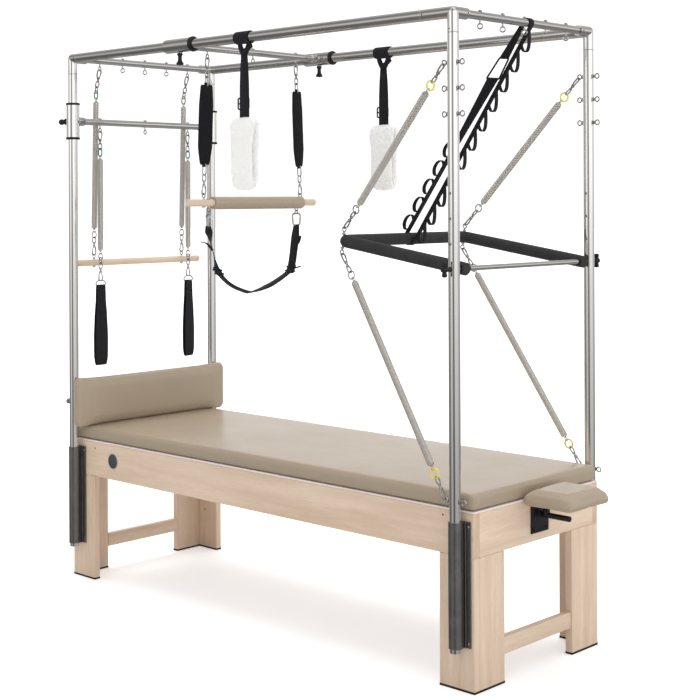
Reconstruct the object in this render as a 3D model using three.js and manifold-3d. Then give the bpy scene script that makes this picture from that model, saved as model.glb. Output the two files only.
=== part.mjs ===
// A pilates trapeze table: a padded table inside a canopy of steel tubes, which carries
// sliding bars, springs, straps, a swinging trapeze and a push-through bar.
// Lengths are millimetres. X runs along the table towards the foot end, Y across it
// towards the back and Z up.

import * as THREE from 'three';
import { mergeVertices } from 'three/addons/utils/BufferGeometryUtils.js';
import Module from 'manifold-3d';

const wasm = await Module();
wasm.setup();

// Fits and facets
const seat = 0.3;
const overrun = 5;
const weld = 0.001;
const tidyTolerance = 0.05;
const tubeSides = 12;
const barSides = 12;
const knobSides = 10;
const smallSides = 6;
const wideRadius = 18.5;
const wireSides = 3;
const frameSides = 4;
const linkSteps = 6;
const coilSides = 5;
const barrelSides = 8;
const curlSteps = 8;

// Canopy tubes
const postFromTableEnd = 50.5;
const postFromTableSide = 31.5;
const canopyHeight = 2180;
const usualHeadroom = 1524;
const tubeRadius = 19;
const tubeWall = 2.5;
const crossbarRadius = 14;
const crossbarWall = 2;
const postBottomZ = 131;

// Corner fittings
const fittingDrop = 65;
const fittingFootReach = 125;
const fittingHeadReach = 43;
const fittingCrossReach = 65;
const spigotLength = 30;
const crossSocketDepth = 40;

// Eyebolts
const eyeRadius = 8;
const eyeWire = 2;
const shankRadius = 3;
const nutRadius = 6.5;
const nutHeight = 5;
const crossbarEyeDrop = 33.5;
const crossbarEyePitch = 120;
const eyePitchesAcross = 2;
const postEyeReach = 37;
const postEyeBelowRail = 159;
const postEyePitch = 82;
const postEyeCount = 3;
const postEyeAboveApron = 38;

// Table
const tableLength = 2147;
const tableWidth = 693;
const boardThickness = 28;
const apronTopZ = 571;
const apronDepth = 142;
const legSideWidth = 144;
const legEndWidth = 157;
const footStripHeight = 5;
const footStripInset = 1;
const tenonThickness = 10;
const tenonHeight = 40;
const tenonMargin = 20;
const stretcherBottomZ = 91;
const stretcherHeight = 55;
const stretcherThickness = 26;
const stretcherInset = 4;
const deckThickness = 6;
const deckInset = 3;
const badgeRadius = 30;
const badgeThickness = 2;
const badgeFromHeadEnd = 272;
const badgeBelowTop = 66;

// Mattress and other upholstery
const mattressThickness = 60;
const mattressCrown = 7;
const mattressCorner = 18;
const mattressEdge = 20;
const mattressTuck = 4;
const cushionPastPost = 25;
const cushionHeight = 198;
const cushionThickness = 40;
const cushionCrown = 8;
const cushionCorner = 26;
const cushionEdge = 12;
const cushionTuck = 3;
const cushionBoltRise = 94;
const cushionBoltRadius = 4;
const cushionCapRadius = 11;
const cushionCapReach = 24;
const padLengthX = 205;
const padLengthY = 240;
const padThickness = 44;
const padCrown = 10;
const padCorner = 24;
const padEdge = 18;
const padTuck = 3;
const padGapX = 7;
const padBottomZ = 563;

// Foot end bracket
const bracketWidth = 95;
const bracketHeight = 92;
const bracketThickness = 6;
const bracketBottomZ = 457;
const bracketBarRadius = 11;
const bracketBarReach = 125;
const bracketBarZ = 517;
const bracketPostRadius = 14;
const bracketPostReach = 30;

// Post clamps
const clampBottomZ = 145;
const clampHeight = 400;
const clampShell = 3.5;
const clampFlangeHalf = 39;
const clampFlangeThickness = 6;
const clampNeckHalf = 14;
const clampScrewRadius = 4.5;
const clampScrewHeight = 3;
const clampScrewInsetY = 31;
const clampScrewInsetZ = 15;

// Sliding bars
const sleeveRadius = 27;
const sleeveClearance = 0.5;
const sleeveRingRadius = 29;
const sleeveRingHeight = 8;
const sliderBarRadius = 13.5;
const sliderSocketRadius = 18;
const sliderSocketReach = 54;
const sliderBoltRadius = 4;
const sliderBoltLength = 4;
const headSleeveLength = 136;
const headSliderRise = 1263;
const topSleeveLength = 150;
const topSliderX = -326;

// Pull knobs
const knobPinRadius = 5;
const knobPinGap = 1;
const knobBossRadius = 9;
const knobHeadRadius = 11;
const headKnobBoss = 16;
const headKnobLength = 46;
const topKnobBoss = 4;
const topKnobLength = 44;
const knobFlangeRadius = 14;
const knobFlangeHeight = 4;
const knobWaistRadius = 8;

// Push-through bar
const pushPivotRise = 709;
const pushArmReach = 533;
const pushArmLift = 80;
const pushArmFromPost = 48;
const pushPadRadius = 21.5;
const pushEndReach = 14;
const pushEyeReach = 41;
const pushRodRadius = 8.5;
const pushStudRadius = 4.7;
const pivotHoleRadius = 5;
const pivotHolePitch = 80;
const pivotHoleCount = 4;
const wingHubRadius = 8;
const wingHubLength = 40;
const wingSpan = 50;
const wingWidth = 17;
const wingThickness = 11;
const wingFromTube = 28;
const studInHub = 25;
const studClearance = 0.1;

// Links, rings and springs
const linkWire = 1.8;
const hookLength = 40;
const hookWidth = 16;
const swivelLength = 12;
const clipLength = 24;
const clipWidth = 14;
const swivelWidth = 7;
const bigRing = 24;
const bigRingWire = 2.4;
const smallRing = 20;
const coilRadius = 10.5;
const coilWire = 1.5;
const coilPitch = 4;
const coilCurls = 1.25;
const coilLead = 4;
const coilTail = 3;
const curlInset = 0.6;
const barrelGap = 0.5;
const hookSlack = 0.35;

// Roll-down bar
const rollBarPastPost = 47;
const rollBarRise = 668;
const rollBarLength = 680;
const rollBarRadius = 14;
const barEyeReach = 28;
const rollEyeBelow = 30;
const rollBendPastPost = 27;
const rollBendBelowRail = 131;

// Hand loops
const handSpringBottomRise = 684;
const handStrapBelowSpring = 109;
const handStrapLength = 337;
const handStrapDepth = 18;
const handStrapThickness = 4;
const handStrapWidth = 50;
const handStrapFlare = 17;
const handBuckleLength = 22;
const handBuckleWidth = 34;

// Trapeze
const trapezeBarRise = 921;
const trapezeBarLength = 686;
const trapezeBarRadius = 14;
const trapezePadRadius = 24.5;
const trapezePadStart = -215;
const trapezePadEnd = 268;
const trapezeUpperEyeY = 262;
const trapezeStrapBelowRail = 143;
const trapezeStrapAboveBar = 148;
const trapezeStrapWidth = 56;
const trapezeStrapThickness = 14;
const trapezeStrapNarrow = 9;

// Sling
const slingWidth = 45;
const slingThickness = 4;
const slingBelowBar = 92;
const slingDrop = 267;
const slingCarabinerTop = 34;
const slingCarabinerBottom = 46;
const slingCarabinerWire = 2.5;
const slingBuckleThickness = 10;
const slingBuckleLength = 34;
const slingPathShares = [
  [-0.5, 0], [-0.485, 0.16], [-0.43, 0.48], [-0.385, 0.69], [-0.25, 0.88], [-0.07, 0.995],
  [0.02, 0.99], [0.2, 0.9], [0.4, 0.73], [0.44, 0.62], [0.475, 0.3], [0.5, 0],
];
const slingBuckleShares = [0.31, 0.72];

// Fleece loops
const furStrapX = 40;
const furChokerLength = 76;
const furChokerThickness = 4.5;
const furChokerClearance = 0.1;
const furStrapWidth = 50;
const furStrapThickness = 5;
const furWebDrop = 44;
const furLoopBelowRail = 293;
const furLoopLength = 263;
const furLoopWidth = 128;
const furLoopDepth = 58;
const furThickness = 14;
const furBuckleReach = 12;
const furBuckleHeight = 50;
const furBuckleRise = 28;

// Safety strap
const webbingWidth = 26;
const webbingThickness = 3;
const strapPastNut = 1.5;
const frontTurn = -1;
const strapLoopLength = 62;
const strapLoopBulge = 26;
const strapLoopPitchShare = 0.0884;
const frontLoopCount = 11;
const rearLoopCount = 5;
const strapLoopMargin = 24;
const connectorStart = 150;
const connectorLength = 82;
const connectorNarrow = 40;
const connectorWide = 50;
const connectorWire = 2.5;
const strapLoopShares = [[0.02, 0], [0.3, 0.85], [0.78, 1], [1, 0.55], [0.8, 0]];

// Places worked out from the sizes above
const tableX = tableLength / 2;
const tableY = tableWidth / 2;
const postX = tableX - postFromTableEnd;
const postY = tableY + postFromTableSide;
const railZ = canopyHeight - tubeRadius;
const apronBottomZ = apronTopZ - apronDepth;
const mattressBottomZ = apronTopZ + deckThickness;
const mattressTopZ = mattressBottomZ + mattressThickness;
const headroomScale = (railZ - mattressTopZ) / usualHeadroom;
const risen = (rise) => mattressTopZ + rise * headroomScale;
const postEyeTopZ = railZ - postEyeBelowRail;
const postEyeLowZ = apronTopZ + postEyeAboveApron;
const cushionLength = 2 * (postY + cushionPastPost);
const cushionBoltZ = mattressTopZ + cushionBoltRise;
const headSliderZ = risen(headSliderRise);
const pushPivotZ = risen(pushPivotRise);
const pushCrossX = postX - pushArmReach;
const pushCrossZ = pushPivotZ + pushArmLift;
const pushArmY = postY - pushArmFromPost;
const rollBarX = -postX - rollBarPastPost;
const rollBarZ = risen(rollBarRise);
const rollBendX = -postX - rollBendPastPost;
const rollBendZ = railZ - rollBendBelowRail;
const handSpringBottomZ = risen(handSpringBottomRise);
const handStrapTopZ = handSpringBottomZ - handStrapBelowSpring;
const trapezeBarZ = risen(trapezeBarRise);
const trapezeStrapTopZ = railZ - trapezeStrapBelowRail;
const trapezeStrapBottomZ = trapezeBarZ + trapezeStrapAboveBar;
const slingTopZ = trapezeBarZ - slingBelowBar;
const furLoopTopZ = railZ - furLoopBelowRail;
const eyeOuterY = crossbarEyePitch * eyePitchesAcross;
const eyeZ = railZ - crossbarEyeDrop;
const padX = tableX + padGapX + padLengthX / 2;
const knobTip = tubeRadius + knobPinGap;
const ringBend = Math.PI / linkSteps;
const wireFlat = Math.cos(Math.PI / wireSides);
const ends = [['head', -1], ['foot', 1]];
const sides = [['front', -1], ['back', 1]];

// Materials
function paint(color, roughness, metalness = 0) {
  return new THREE.MeshStandardMaterial({ color, roughness, metalness });
}

const maple = paint('#e2cbb2', 0.5);
const vinyl = paint('#d6c8b4', 0.55);
const darkVinyl = paint('#9e8f7a', 0.55);
const steel = paint('#b9b5ac', 0.3, 1);
const darkMetal = paint('#4b4948', 0.5, 0.6);
const wireMetal = paint('#b3aca4', 0.35, 1);
const blackPlastic = paint('#1d1d1f', 0.45);
const blackFabric = paint('#262629', 0.9);
const padFoam = paint('#373537', 0.7);
const fleece = paint('#f2f1ea', 0.95);

const group = new THREE.Group();

// Solids
const at = (x, y, z) => new THREE.Vector3(x, y, z);
const axisX = at(1, 0, 0);
const axisY = at(0, 1, 0);
const axisZ = at(0, 0, 1);

function signedVolume(position, index) {
  const corner = [at(0, 0, 0), at(0, 0, 0), at(0, 0, 0)];
  let sum = 0;
  for (let i = 0; i < index.length; i += 3) {
    corner.forEach((vertex, k) => vertex.fromBufferAttribute(position, index[i + k]));
    sum += corner[0].dot(corner[1].clone().cross(corner[2]));
  }
  return sum;
}

function solidOf(geometry) {
  const bare = geometry.clone();
  bare.deleteAttribute('normal');
  bare.deleteAttribute('uv');
  const merged = mergeVertices(bare, weld);
  const kept = [];
  const index = merged.index.array;
  for (let i = 0; i < index.length; i += 3) {
    const [a, b, c] = [index[i], index[i + 1], index[i + 2]];
    if (a !== b && b !== c && a !== c) kept.push(a, b, c);
  }
  const inward = signedVolume(merged.attributes.position, kept) < 0;
  const triVerts = Uint32Array.from(inward ? kept.reverse() : kept);
  const vertProperties = Float32Array.from(merged.attributes.position.array);
  return new wasm.Manifold(new wasm.Mesh({ numProp: 3, vertProperties, triVerts }));
}

function join(...solids) {
  return solids.flat().reduce((sum, next) => sum.add(next));
}

function cut(solid, ...tools) {
  return tools.flat().reduce((left, tool) => left.subtract(tool), solid);
}

function addPiece(name, solid, material) {
  const mesh = solid.asOriginal().simplify(tidyTolerance).getMesh();
  const geometry = new THREE.BufferGeometry();
  const position = new Float32Array(mesh.vertProperties);
  geometry.setAttribute('position', new THREE.BufferAttribute(position, 3));
  geometry.setIndex(new THREE.BufferAttribute(new Uint32Array(mesh.triVerts), 1));
  geometry.computeVertexNormals();
  const piece = new THREE.Mesh(geometry, material);
  piece.name = name;
  group.add(piece);
}

function block(low, high) {
  const size = high.clone().sub(low);
  const geometry = new THREE.BoxGeometry(size.x, size.y, size.z);
  geometry.translate(...low.clone().add(high).divideScalar(2));
  return solidOf(geometry);
}

const facetsFor = (radius) => (radius < wideRadius ? barSides : tubeSides);

function rod(from, to, radius, facets = facetsFor(radius), endRadius = radius) {
  const way = to.clone().sub(from);
  const geometry = new THREE.CylinderGeometry(endRadius, radius, way.length(), facets);
  const turn = new THREE.Quaternion().setFromUnitVectors(axisY, way.normalize());
  geometry.applyQuaternion(turn);
  geometry.translate(...from.clone().add(to).divideScalar(2));
  return solidOf(geometry);
}

function longer(from, to, extra) {
  const way = to.clone().sub(from).setLength(extra);
  return [from.clone().sub(way), to.clone().add(way)];
}

function pipe(from, to, outer, inner, facets = facetsFor(outer)) {
  return cut(rod(from, to, outer, facets), rod(...longer(from, to, overrun), inner, facets));
}

function ball(centre, radius, facets = tubeSides) {
  const geometry = new THREE.SphereGeometry(radius, facets, facets / 2);
  geometry.rotateX(Math.PI / 2);
  geometry.translate(...centre);
  return solidOf(geometry);
}

// A flat outline in the plane of two directions, pulled out by a depth on both sides
function slab(outline, holes, centre, u, v, depth) {
  const edge = outline.map(([a, b]) => new THREE.Vector2(a, b));
  const shape = new THREE.Shape(THREE.ShapeUtils.isClockWise(edge) ? edge.reverse() : edge);
  shape.holes = holes.map((hole) => new THREE.Path(hole.map(([a, b]) => new THREE.Vector2(a, b))));
  const geometry = new THREE.ExtrudeGeometry(shape, { depth, bevelEnabled: false });
  geometry.translate(0, 0, -depth / 2);
  const basis = new THREE.Matrix4().makeBasis(u, v, u.clone().cross(v));
  geometry.applyMatrix4(basis.setPosition(centre));
  return geometry;
}

// A tube of constant radius through points, open with flat ends or closed in a flat plane
function wire(points, radius, facets, closedNormal = null) {
  const count = points.length;
  const position = [];
  let side = null;
  points.forEach((point, i) => {
    const back = points[closedNormal ? (i + count - 1) % count : Math.max(i - 1, 0)];
    const ahead = points[closedNormal ? (i + 1) % count : Math.min(i + 1, count - 1)];
    const tangent = ahead.clone().sub(back).normalize();
    if (closedNormal) {
      side = tangent.clone().cross(closedNormal).normalize();
    } else {
      const rough = side ?? (Math.abs(tangent.z) < Math.SQRT1_2 ? axisZ : axisX);
      side = rough.clone().addScaledVector(tangent, -rough.dot(tangent)).normalize();
    }
    const other = tangent.clone().cross(side);
    for (let k = 0; k < facets; k += 1) {
      const angle = ((k + 1 / 2) / facets) * 2 * Math.PI;
      const spot = point.clone().addScaledVector(side, radius * Math.cos(angle));
      position.push(...spot.addScaledVector(other, radius * Math.sin(angle)));
    }
  });
  const index = [];
  const rings = closedNormal ? count : count - 1;
  for (let i = 0; i < rings; i += 1) {
    const next = ((i + 1) % count) * facets;
    for (let k = 0; k < facets; k += 1) {
      const [a, b] = [i * facets + k, i * facets + ((k + 1) % facets)];
      const [c, d] = [next + k, next + ((k + 1) % facets)];
      index.push(a, b, d, a, d, c);
    }
  }
  if (!closedNormal) {
    for (let k = 1; k < facets - 1; k += 1) {
      const last = (count - 1) * facets;
      index.push(0, k + 1, k, last, last + k, last + k + 1);
    }
  }
  const geometry = new THREE.BufferGeometry();
  geometry.setAttribute('position', new THREE.Float32BufferAttribute(position, 3));
  geometry.setIndex(index);
  return solidOf(geometry);
}

// A stadium shaped link in the plane of two directions; along is its length's direction
function link(centre, along, across, length, width, radius, steps = linkSteps) {
  const bend = width / 2;
  const straight = Math.max(length - width, 0) / 2;
  const points = [];
  for (let i = 0; i < steps; i += 1) {
    const angle = ((i + 1 / 2) / steps) * 2 * Math.PI;
    const reach = bend * Math.sin(angle) + straight * Math.sign(Math.sin(angle));
    const point = centre.clone().addScaledVector(across, bend * Math.cos(angle));
    points.push(point.addScaledVector(along, reach));
  }
  const scale = 1 / Math.cos(Math.PI / steps);
  const round = points.map((point) => {
    const offset = point.clone().sub(centre);
    const lengthwise = offset.dot(along);
    const end = Math.sign(lengthwise) * (Math.abs(lengthwise) - straight) * (scale - 1);
    return point.addScaledVector(along, end).addScaledVector(across, offset.dot(across) * (scale - 1));
  });
  return wire(round, radius, wireSides, along.clone().cross(across));
}

// An eye with its shank up to a depth inside the bar, and its nut on the bar's other side
function eyebolt(centre, shankWay, normal, shankLength, nutStart) {
  const across = shankWay.clone().cross(normal);
  const eye = link(centre, shankWay, across, 2 * eyeRadius, 2 * eyeRadius, eyeWire);
  const spot = (reach) => centre.clone().addScaledVector(shankWay, reach);
  const shank = rod(spot(eyeRadius), spot(shankLength), shankRadius, smallSides - 1);
  const nut = rod(spot(nutStart), spot(nutStart + nutHeight), nutRadius, smallSides);
  return [eye, shank, nut];
}

// Rounded rectangle loops stacked into an upholstered pad with a crown and drawn-in sides
function upholstery(centre, u, v, w, size) {
  const { lengthU, lengthV, thickness, crown, corner, edge, tuck } = size;
  const arcSteps = 3;
  const sideShares = [[0, 1], [0.12, 0.35], [0.45, 0], [0.75, 0.2]];
  const edgeShares = [[0.3, 0.12], [0.65, 0.4], [0.92, 1]];
  const crownShares = [0.15, 0.45, 0.9];
  const short = Math.min(lengthU, lengthV) / 2;
  const lowEdge = thickness - edge;
  const levels = sideShares.map(([rise, inset]) => [rise * lowEdge, inset * tuck]);
  edgeShares.forEach(([rise, inset]) => levels.push([lowEdge + rise * edge, inset * edge]));
  crownShares.forEach((share) => {
    const inset = edge + share * (short - edge);
    levels.push([thickness + crown * Math.sin((share * Math.PI) / 2), inset]);
  });
  const position = [];
  levels.forEach(([rise, inset]) => {
    const [halfU, halfV] = [lengthU / 2 - inset, lengthV / 2 - inset];
    const radius = Math.min(Math.max(corner - inset, corner / 3), halfU, halfV);
    for (let quarter = 0; quarter < 4; quarter += 1) {
      const [signU, signV] = [[1, 1], [-1, 1], [-1, -1], [1, -1]][quarter];
      for (let k = 0; k <= arcSteps; k += 1) {
        const angle = (quarter + k / arcSteps) * (Math.PI / 2);
        const across = signU * (halfU - radius) + radius * Math.cos(angle);
        const along = signV * (halfV - radius) + radius * Math.sin(angle);
        const point = centre.clone().addScaledVector(u, across).addScaledVector(v, along);
        position.push(...point.addScaledVector(w, rise));
      }
    }
  });
  const round = 4 * (arcSteps + 1);
  const index = [];
  for (let i = 0; i < levels.length - 1; i += 1) {
    for (let k = 0; k < round; k += 1) {
      const [a, b] = [i * round + k, i * round + ((k + 1) % round)];
      index.push(a, b, b + round, a, b + round, a + round);
    }
  }
  const last = (levels.length - 1) * round;
  for (let k = 1; k < round - 1; k += 1) index.push(0, k + 1, k, last, last + k, last + k + 1);
  const geometry = new THREE.BufferGeometry();
  geometry.setAttribute('position', new THREE.Float32BufferAttribute(position, 3));
  geometry.setIndex(index);
  return solidOf(geometry);
}

// The outline of a flat band that follows a line of points
function ribbon(points, thickness) {
  const left = [];
  const right = [];
  points.forEach(([a, b], i) => {
    const back = points[Math.max(i - 1, 0)];
    const ahead = points[Math.min(i + 1, points.length - 1)];
    const run = Math.hypot(ahead[0] - back[0], ahead[1] - back[1]);
    const normal = [-(ahead[1] - back[1]) / run, (ahead[0] - back[0]) / run];
    left.push([a + (normal[0] * thickness) / 2, b + (normal[1] * thickness) / 2]);
    right.unshift([a - (normal[0] * thickness) / 2, b - (normal[1] * thickness) / 2]);
  });
  return [...left, ...right];
}

function circle(radius, facets = tubeSides) {
  const points = [];
  for (let i = 0; i < facets; i += 1) {
    const angle = (i / facets) * 2 * Math.PI;
    points.push([radius * Math.cos(angle), radius * Math.sin(angle)]);
  }
  return points;
}

// Springs

// The path of one spring end: from the middle of the coil out to its radius and round
function curlPath(start, down, u, v) {
  const growShares = [0, 0.5, 0.8];
  const points = [start.clone(), start.clone().addScaledVector(down, coilLead)];
  const steps = Math.round(coilCurls * curlSteps);
  const radius = coilRadius - coilWire - curlInset;
  for (let i = 1; i <= steps + 1; i += 1) {
    const tail = i > steps;
    const angle = (Math.min(i, steps) / curlSteps) * 2 * Math.PI;
    const reach = radius * (growShares[i] ?? 1) - (tail ? curlInset : 0);
    const depth = coilLead + (i / curlSteps) * coilPitch + (tail ? coilTail : 0);
    const point = start.clone().addScaledVector(down, depth);
    point.addScaledVector(u, reach * Math.cos(angle));
    points.push(point.addScaledVector(v, reach * Math.sin(angle)));
  }
  return points;
}

function leastGap(points, radius) {
  let least = Infinity;
  points.forEach((point, i) => {
    points.slice(i + curlSteps - 2).forEach((other) => {
      least = Math.min(least, point.distanceTo(other) - 2 * radius);
    });
  });
  return least;
}

function coil(from, to, u) {
  const down = to.clone().sub(from).normalize();
  const v = down.clone().cross(u);
  const reach = coilLead + coilCurls * coilPitch + coilWire + barrelGap;
  const top = from.clone().addScaledVector(down, reach);
  const bottom = to.clone().addScaledVector(down, -reach);
  const first = curlPath(from, down, u, v);
  const second = curlPath(to, down.clone().negate(), u, v);
  return {
    solid: join(
      rod(top, bottom, coilRadius, barrelSides),
      wire(first, coilWire, coilSides),
      wire(second, coilWire, coilSides),
    ),
    gap: leastGap(first, coilWire),
  };
}

const snapLength = hookLength + swivelLength + clipLength;
const snapHook = { kind: 'snap', length: snapLength, turn: 1 };
const snapBack = { kind: 'snap', length: snapLength, turn: -1 };
const ringPart = (width, radius) => ({ kind: 'link', length: width, width, radius });
const coloured = ringPart(bigRing, bigRingWire);
const plain = ringPart(smallRing, linkWire);
const hookedSpring = (first, second) => [snapHook, first, { kind: 'coil' }, second, snapBack];
const ringedSpring = [snapHook, coloured, { kind: 'coil' }, plain];
const gaps = [];

// A snap hook: a flat body with a long hook opening, a narrow swivel and a small eye
function snap(start, end, flat, turn) {
  const down = end.clone().sub(start).normalize().multiplyScalar(turn);
  const length = start.distanceTo(end);
  const top = turn > 0 ? start : end;
  const waist = length - swivelLength - clipLength;
  const eyeTop = length - clipLength;
  const taper = hookWidth / 2 - swivelWidth / 2;
  const half = hookWidth / 2 + linkWire;
  const halfClip = clipWidth / 2;
  const right = [
    [half - taper, -linkWire], [half, taper], [swivelWidth / 2, waist],
    [swivelWidth / 2, eyeTop], [halfClip + linkWire, length - taper],
    [halfClip - linkWire, length + linkWire],
  ];
  const mirror = (points) => [...points, ...points.map(([a, b]) => [-a, b]).reverse()];
  const hookHole = [[hookWidth / 2 - linkWire, linkWire], [linkWire / 2, waist - taper]];
  const eyeHole = [[linkWire / 2, eyeTop + taper], [halfClip - linkWire, length - linkWire]];
  const holes = [mirror(hookHole), mirror(eyeHole)];
  return solidOf(slab(mirror(right), holes, top, flat, down, 2 * linkWire));
}

// A chain of links and a spring, fused where they meet, between two points. The first link
// lies across the chain along the given direction, and the links after it turn by turns.
function chain(from, to, across, parts) {
  const way = to.clone().sub(from);
  const down = way.clone().normalize();
  const flat = across.clone().addScaledVector(down, -across.dot(down)).normalize();
  const other = down.clone().cross(flat);
  const fixed = parts.reduce((sum, part) => sum + (part.length ?? 0), 0);
  const solids = [];
  let walked = 0;
  let turned = false;
  parts.forEach((part) => {
    const length = part.length ?? way.length() - fixed;
    const start = from.clone().addScaledVector(down, walked);
    const end = start.clone().addScaledVector(down, length);
    if (part.kind === 'link') {
      const middle = start.clone().add(end).divideScalar(2);
      const side = turned ? other : flat;
      solids.push(link(middle, down, side, part.length, part.width, part.radius));
      turned = !turned;
    } else if (part.kind === 'snap') {
      solids.push(snap(start, end, turned ? other : flat, part.turn));
      turned = !turned;
    } else {
      const made = coil(start, end, flat);
      gaps.push(made.gap);
      solids.push(made.solid);
      turned = !turned;
    }
    walked += length;
  });
  return join(solids);
}

// How far from a ring's middle a bar rests in its corner, from the bar's reach towards the
// ring and to the sides
function restIn(ringRadius, ringWire, ahead, beside) {
  const room = ringRadius - ringWire * wireFlat - hookSlack - beside * Math.sin(ringBend);
  return room / Math.cos(ringBend) - ahead;
}

// The place inside an eye where a hook's bar rests when it is pulled in a direction
function hookPoint(eye, way) {
  const drop = restIn(eyeRadius, eyeWire, linkWire, linkWire);
  return eye.clone().addScaledVector(way.clone().normalize(), drop);
}

function chainBetween(eyeA, eyeB, across, parts) {
  const way = eyeB.clone().sub(eyeA);
  return chain(hookPoint(eyeA, way), hookPoint(eyeB, way.clone().negate()), across, parts);
}

// Table
function addAprons() {
  const inner = tableX - boardThickness;
  sides.forEach(([side, sign]) => {
    const outerY = sign * tableY;
    const innerY = sign * (tableY - boardThickness);
    const [lowY, highY] = [Math.min(outerY, innerY), Math.max(outerY, innerY)];
    let board = block(at(-tableX, lowY, apronBottomZ), at(tableX, highY, apronTopZ));
    ends.forEach(([, end]) => {
      board = cut(board, mortise(end, sign, true));
    });
    if (sign < 0) {
      const face = at(-tableX + badgeFromHeadEnd, outerY, apronTopZ - badgeBelowTop);
      const badge = rod(face, face.clone().setY(outerY - badgeThickness), badgeRadius);
      board = join(board, badge);
    }
    addPiece(`side_rail_${side}`, board, maple);
  });
  ends.forEach(([end, sign]) => {
    const [a, b] = [sign * tableX, sign * inner];
    const halfY = tableY - boardThickness - seat;
    const low = at(Math.min(a, b), -halfY, apronBottomZ);
    let board = block(low, at(Math.max(a, b), halfY, apronTopZ));
    sides.forEach(([, side]) => {
      board = cut(board, mortise(sign, side, false));
    });
    addPiece(`end_rail_${end}`, board, maple);
  });
}

// The tenon on top of a leg board, and the pocket for it, which is a seat larger all round
function tenonBox(end, side, alongSide, grow) {
  const middle = boardThickness / 2;
  const half = tenonThickness / 2 + grow;
  const width = alongSide ? legSideWidth : legEndWidth;
  const start = boardThickness + tenonMargin - grow;
  const stop = width - tenonMargin + grow;
  const topZ = apronBottomZ + tenonHeight + grow;
  const bottomZ = apronBottomZ - (grow ? overrun : footStripHeight);
  const near = alongSide ? [tableX - start, tableY - middle + half] : [tableX - middle + half, tableY - start];
  const far = alongSide ? [tableX - stop, tableY - middle - half] : [tableX - middle - half, tableY - stop];
  const xs = [end * near[0], end * far[0]].sort((a, b) => a - b);
  const ys = [side * near[1], side * far[1]].sort((a, b) => a - b);
  return block(at(xs[0], ys[0], bottomZ), at(xs[1], ys[1], topZ));
}

function mortise(end, side, alongSide) {
  return tenonBox(end, side, alongSide, seat);
}

function addLegs() {
  const t = boardThickness;
  const outline = [[0, 0], [legSideWidth, 0], [legSideWidth, t], [t, t], [t, legEndWidth], [0, legEndWidth]];
  const inset = footStripInset;
  const strip = [
    [inset, inset], [legSideWidth - inset, inset], [legSideWidth - inset, t - inset],
    [t - inset, t - inset], [t - inset, legEndWidth - inset], [inset, legEndWidth - inset],
  ];
  ends.forEach(([end, endSign]) => sides.forEach(([side, sideSign]) => {
    const toX = (points) => points.map(([a, b]) => [endSign * (tableX - a), sideSign * (tableY - b)]);
    const legHeight = apronBottomZ - seat - footStripHeight;
    const legMiddle = at(0, 0, footStripHeight + legHeight / 2);
    const stripMiddle = at(0, 0, footStripHeight / 2);
    const leg = join(
      solidOf(slab(toX(outline), [], legMiddle, axisX, axisY, legHeight)),
      solidOf(slab(toX(strip), [], stripMiddle, axisX, axisY, footStripHeight)),
      tenonBox(endSign, sideSign, true, 0),
      tenonBox(endSign, sideSign, false, 0),
    );
    addPiece(`leg_${end}_${side}`, leg, maple);
  }));
}

function addTableBoards() {
  ends.forEach(([end, sign]) => {
    const outer = sign * (tableX - stretcherInset);
    const inner = sign * (tableX - stretcherInset - stretcherThickness);
    const halfY = tableY - legEndWidth - seat;
    const low = at(Math.min(outer, inner), -halfY, stretcherBottomZ);
    const high = at(Math.max(outer, inner), halfY, stretcherBottomZ + stretcherHeight);
    addPiece(`stretcher_${end}`, block(low, high), maple);
  });
  const low = at(-tableX + deckInset, -tableY + deckInset, apronTopZ + seat);
  const high = at(tableX - deckInset, tableY - deckInset, mattressBottomZ);
  addPiece('deck_board', block(low, high), maple);
}

function addUpholstery() {
  addPiece('mattress', upholstery(at(0, 0, mattressBottomZ + seat), axisX, axisY, axisZ, {
    lengthU: tableLength, lengthV: tableWidth, thickness: mattressThickness - mattressCrown,
    crown: mattressCrown - seat, corner: mattressCorner, edge: mattressEdge, tuck: mattressTuck,
  }), vinyl);
  const back = -postX + tubeRadius + seat;
  const middleZ = mattressTopZ + seat + cushionHeight / 2;
  const pad = upholstery(at(back, 0, middleZ), axisY, axisZ, axisX, {
    lengthU: cushionLength, lengthV: cushionHeight, thickness: cushionThickness,
    crown: cushionCrown, corner: cushionCorner, edge: cushionEdge, tuck: cushionTuck,
  });
  const bolts = sides.map(([, sign]) => {
    const inside = at(back + cushionThickness / 2, sign * postY, cushionBoltZ);
    const capStart = inside.clone().setX(-postX - tubeRadius - seat);
    const capEnd = capStart.clone().setX(capStart.x - cushionCapReach);
    return [rod(inside, capEnd, cushionBoltRadius, smallSides), rod(capStart, capEnd, cushionCapRadius, smallSides)];
  });
  addPiece('head_cushion', join(pad, ...bolts), darkVinyl);
}

function addEndPad() {
  const face = tableX + seat;
  const plate = block(
    at(face, -bracketWidth / 2, bracketBottomZ),
    at(face + bracketThickness, bracketWidth / 2, bracketBottomZ + bracketHeight),
  );
  const barStart = at(face, 0, bracketBarZ);
  const bar = rod(barStart, barStart.clone().setX(face + bracketBarReach), bracketBarRadius);
  const stand = rod(
    at(face + bracketPostReach, 0, bracketBarZ),
    at(face + bracketPostReach, 0, padBottomZ),
    bracketPostRadius,
  );
  addPiece('end_pad_bracket', join(plate, bar, stand), blackPlastic);
  addPiece('end_pad', upholstery(at(padX, 0, padBottomZ + seat), axisX, axisY, axisZ, {
    lengthU: padLengthX, lengthV: padLengthY, thickness: padThickness, crown: padCrown,
    corner: padCorner, edge: padEdge, tuck: padTuck,
  }), vinyl);
}

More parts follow.
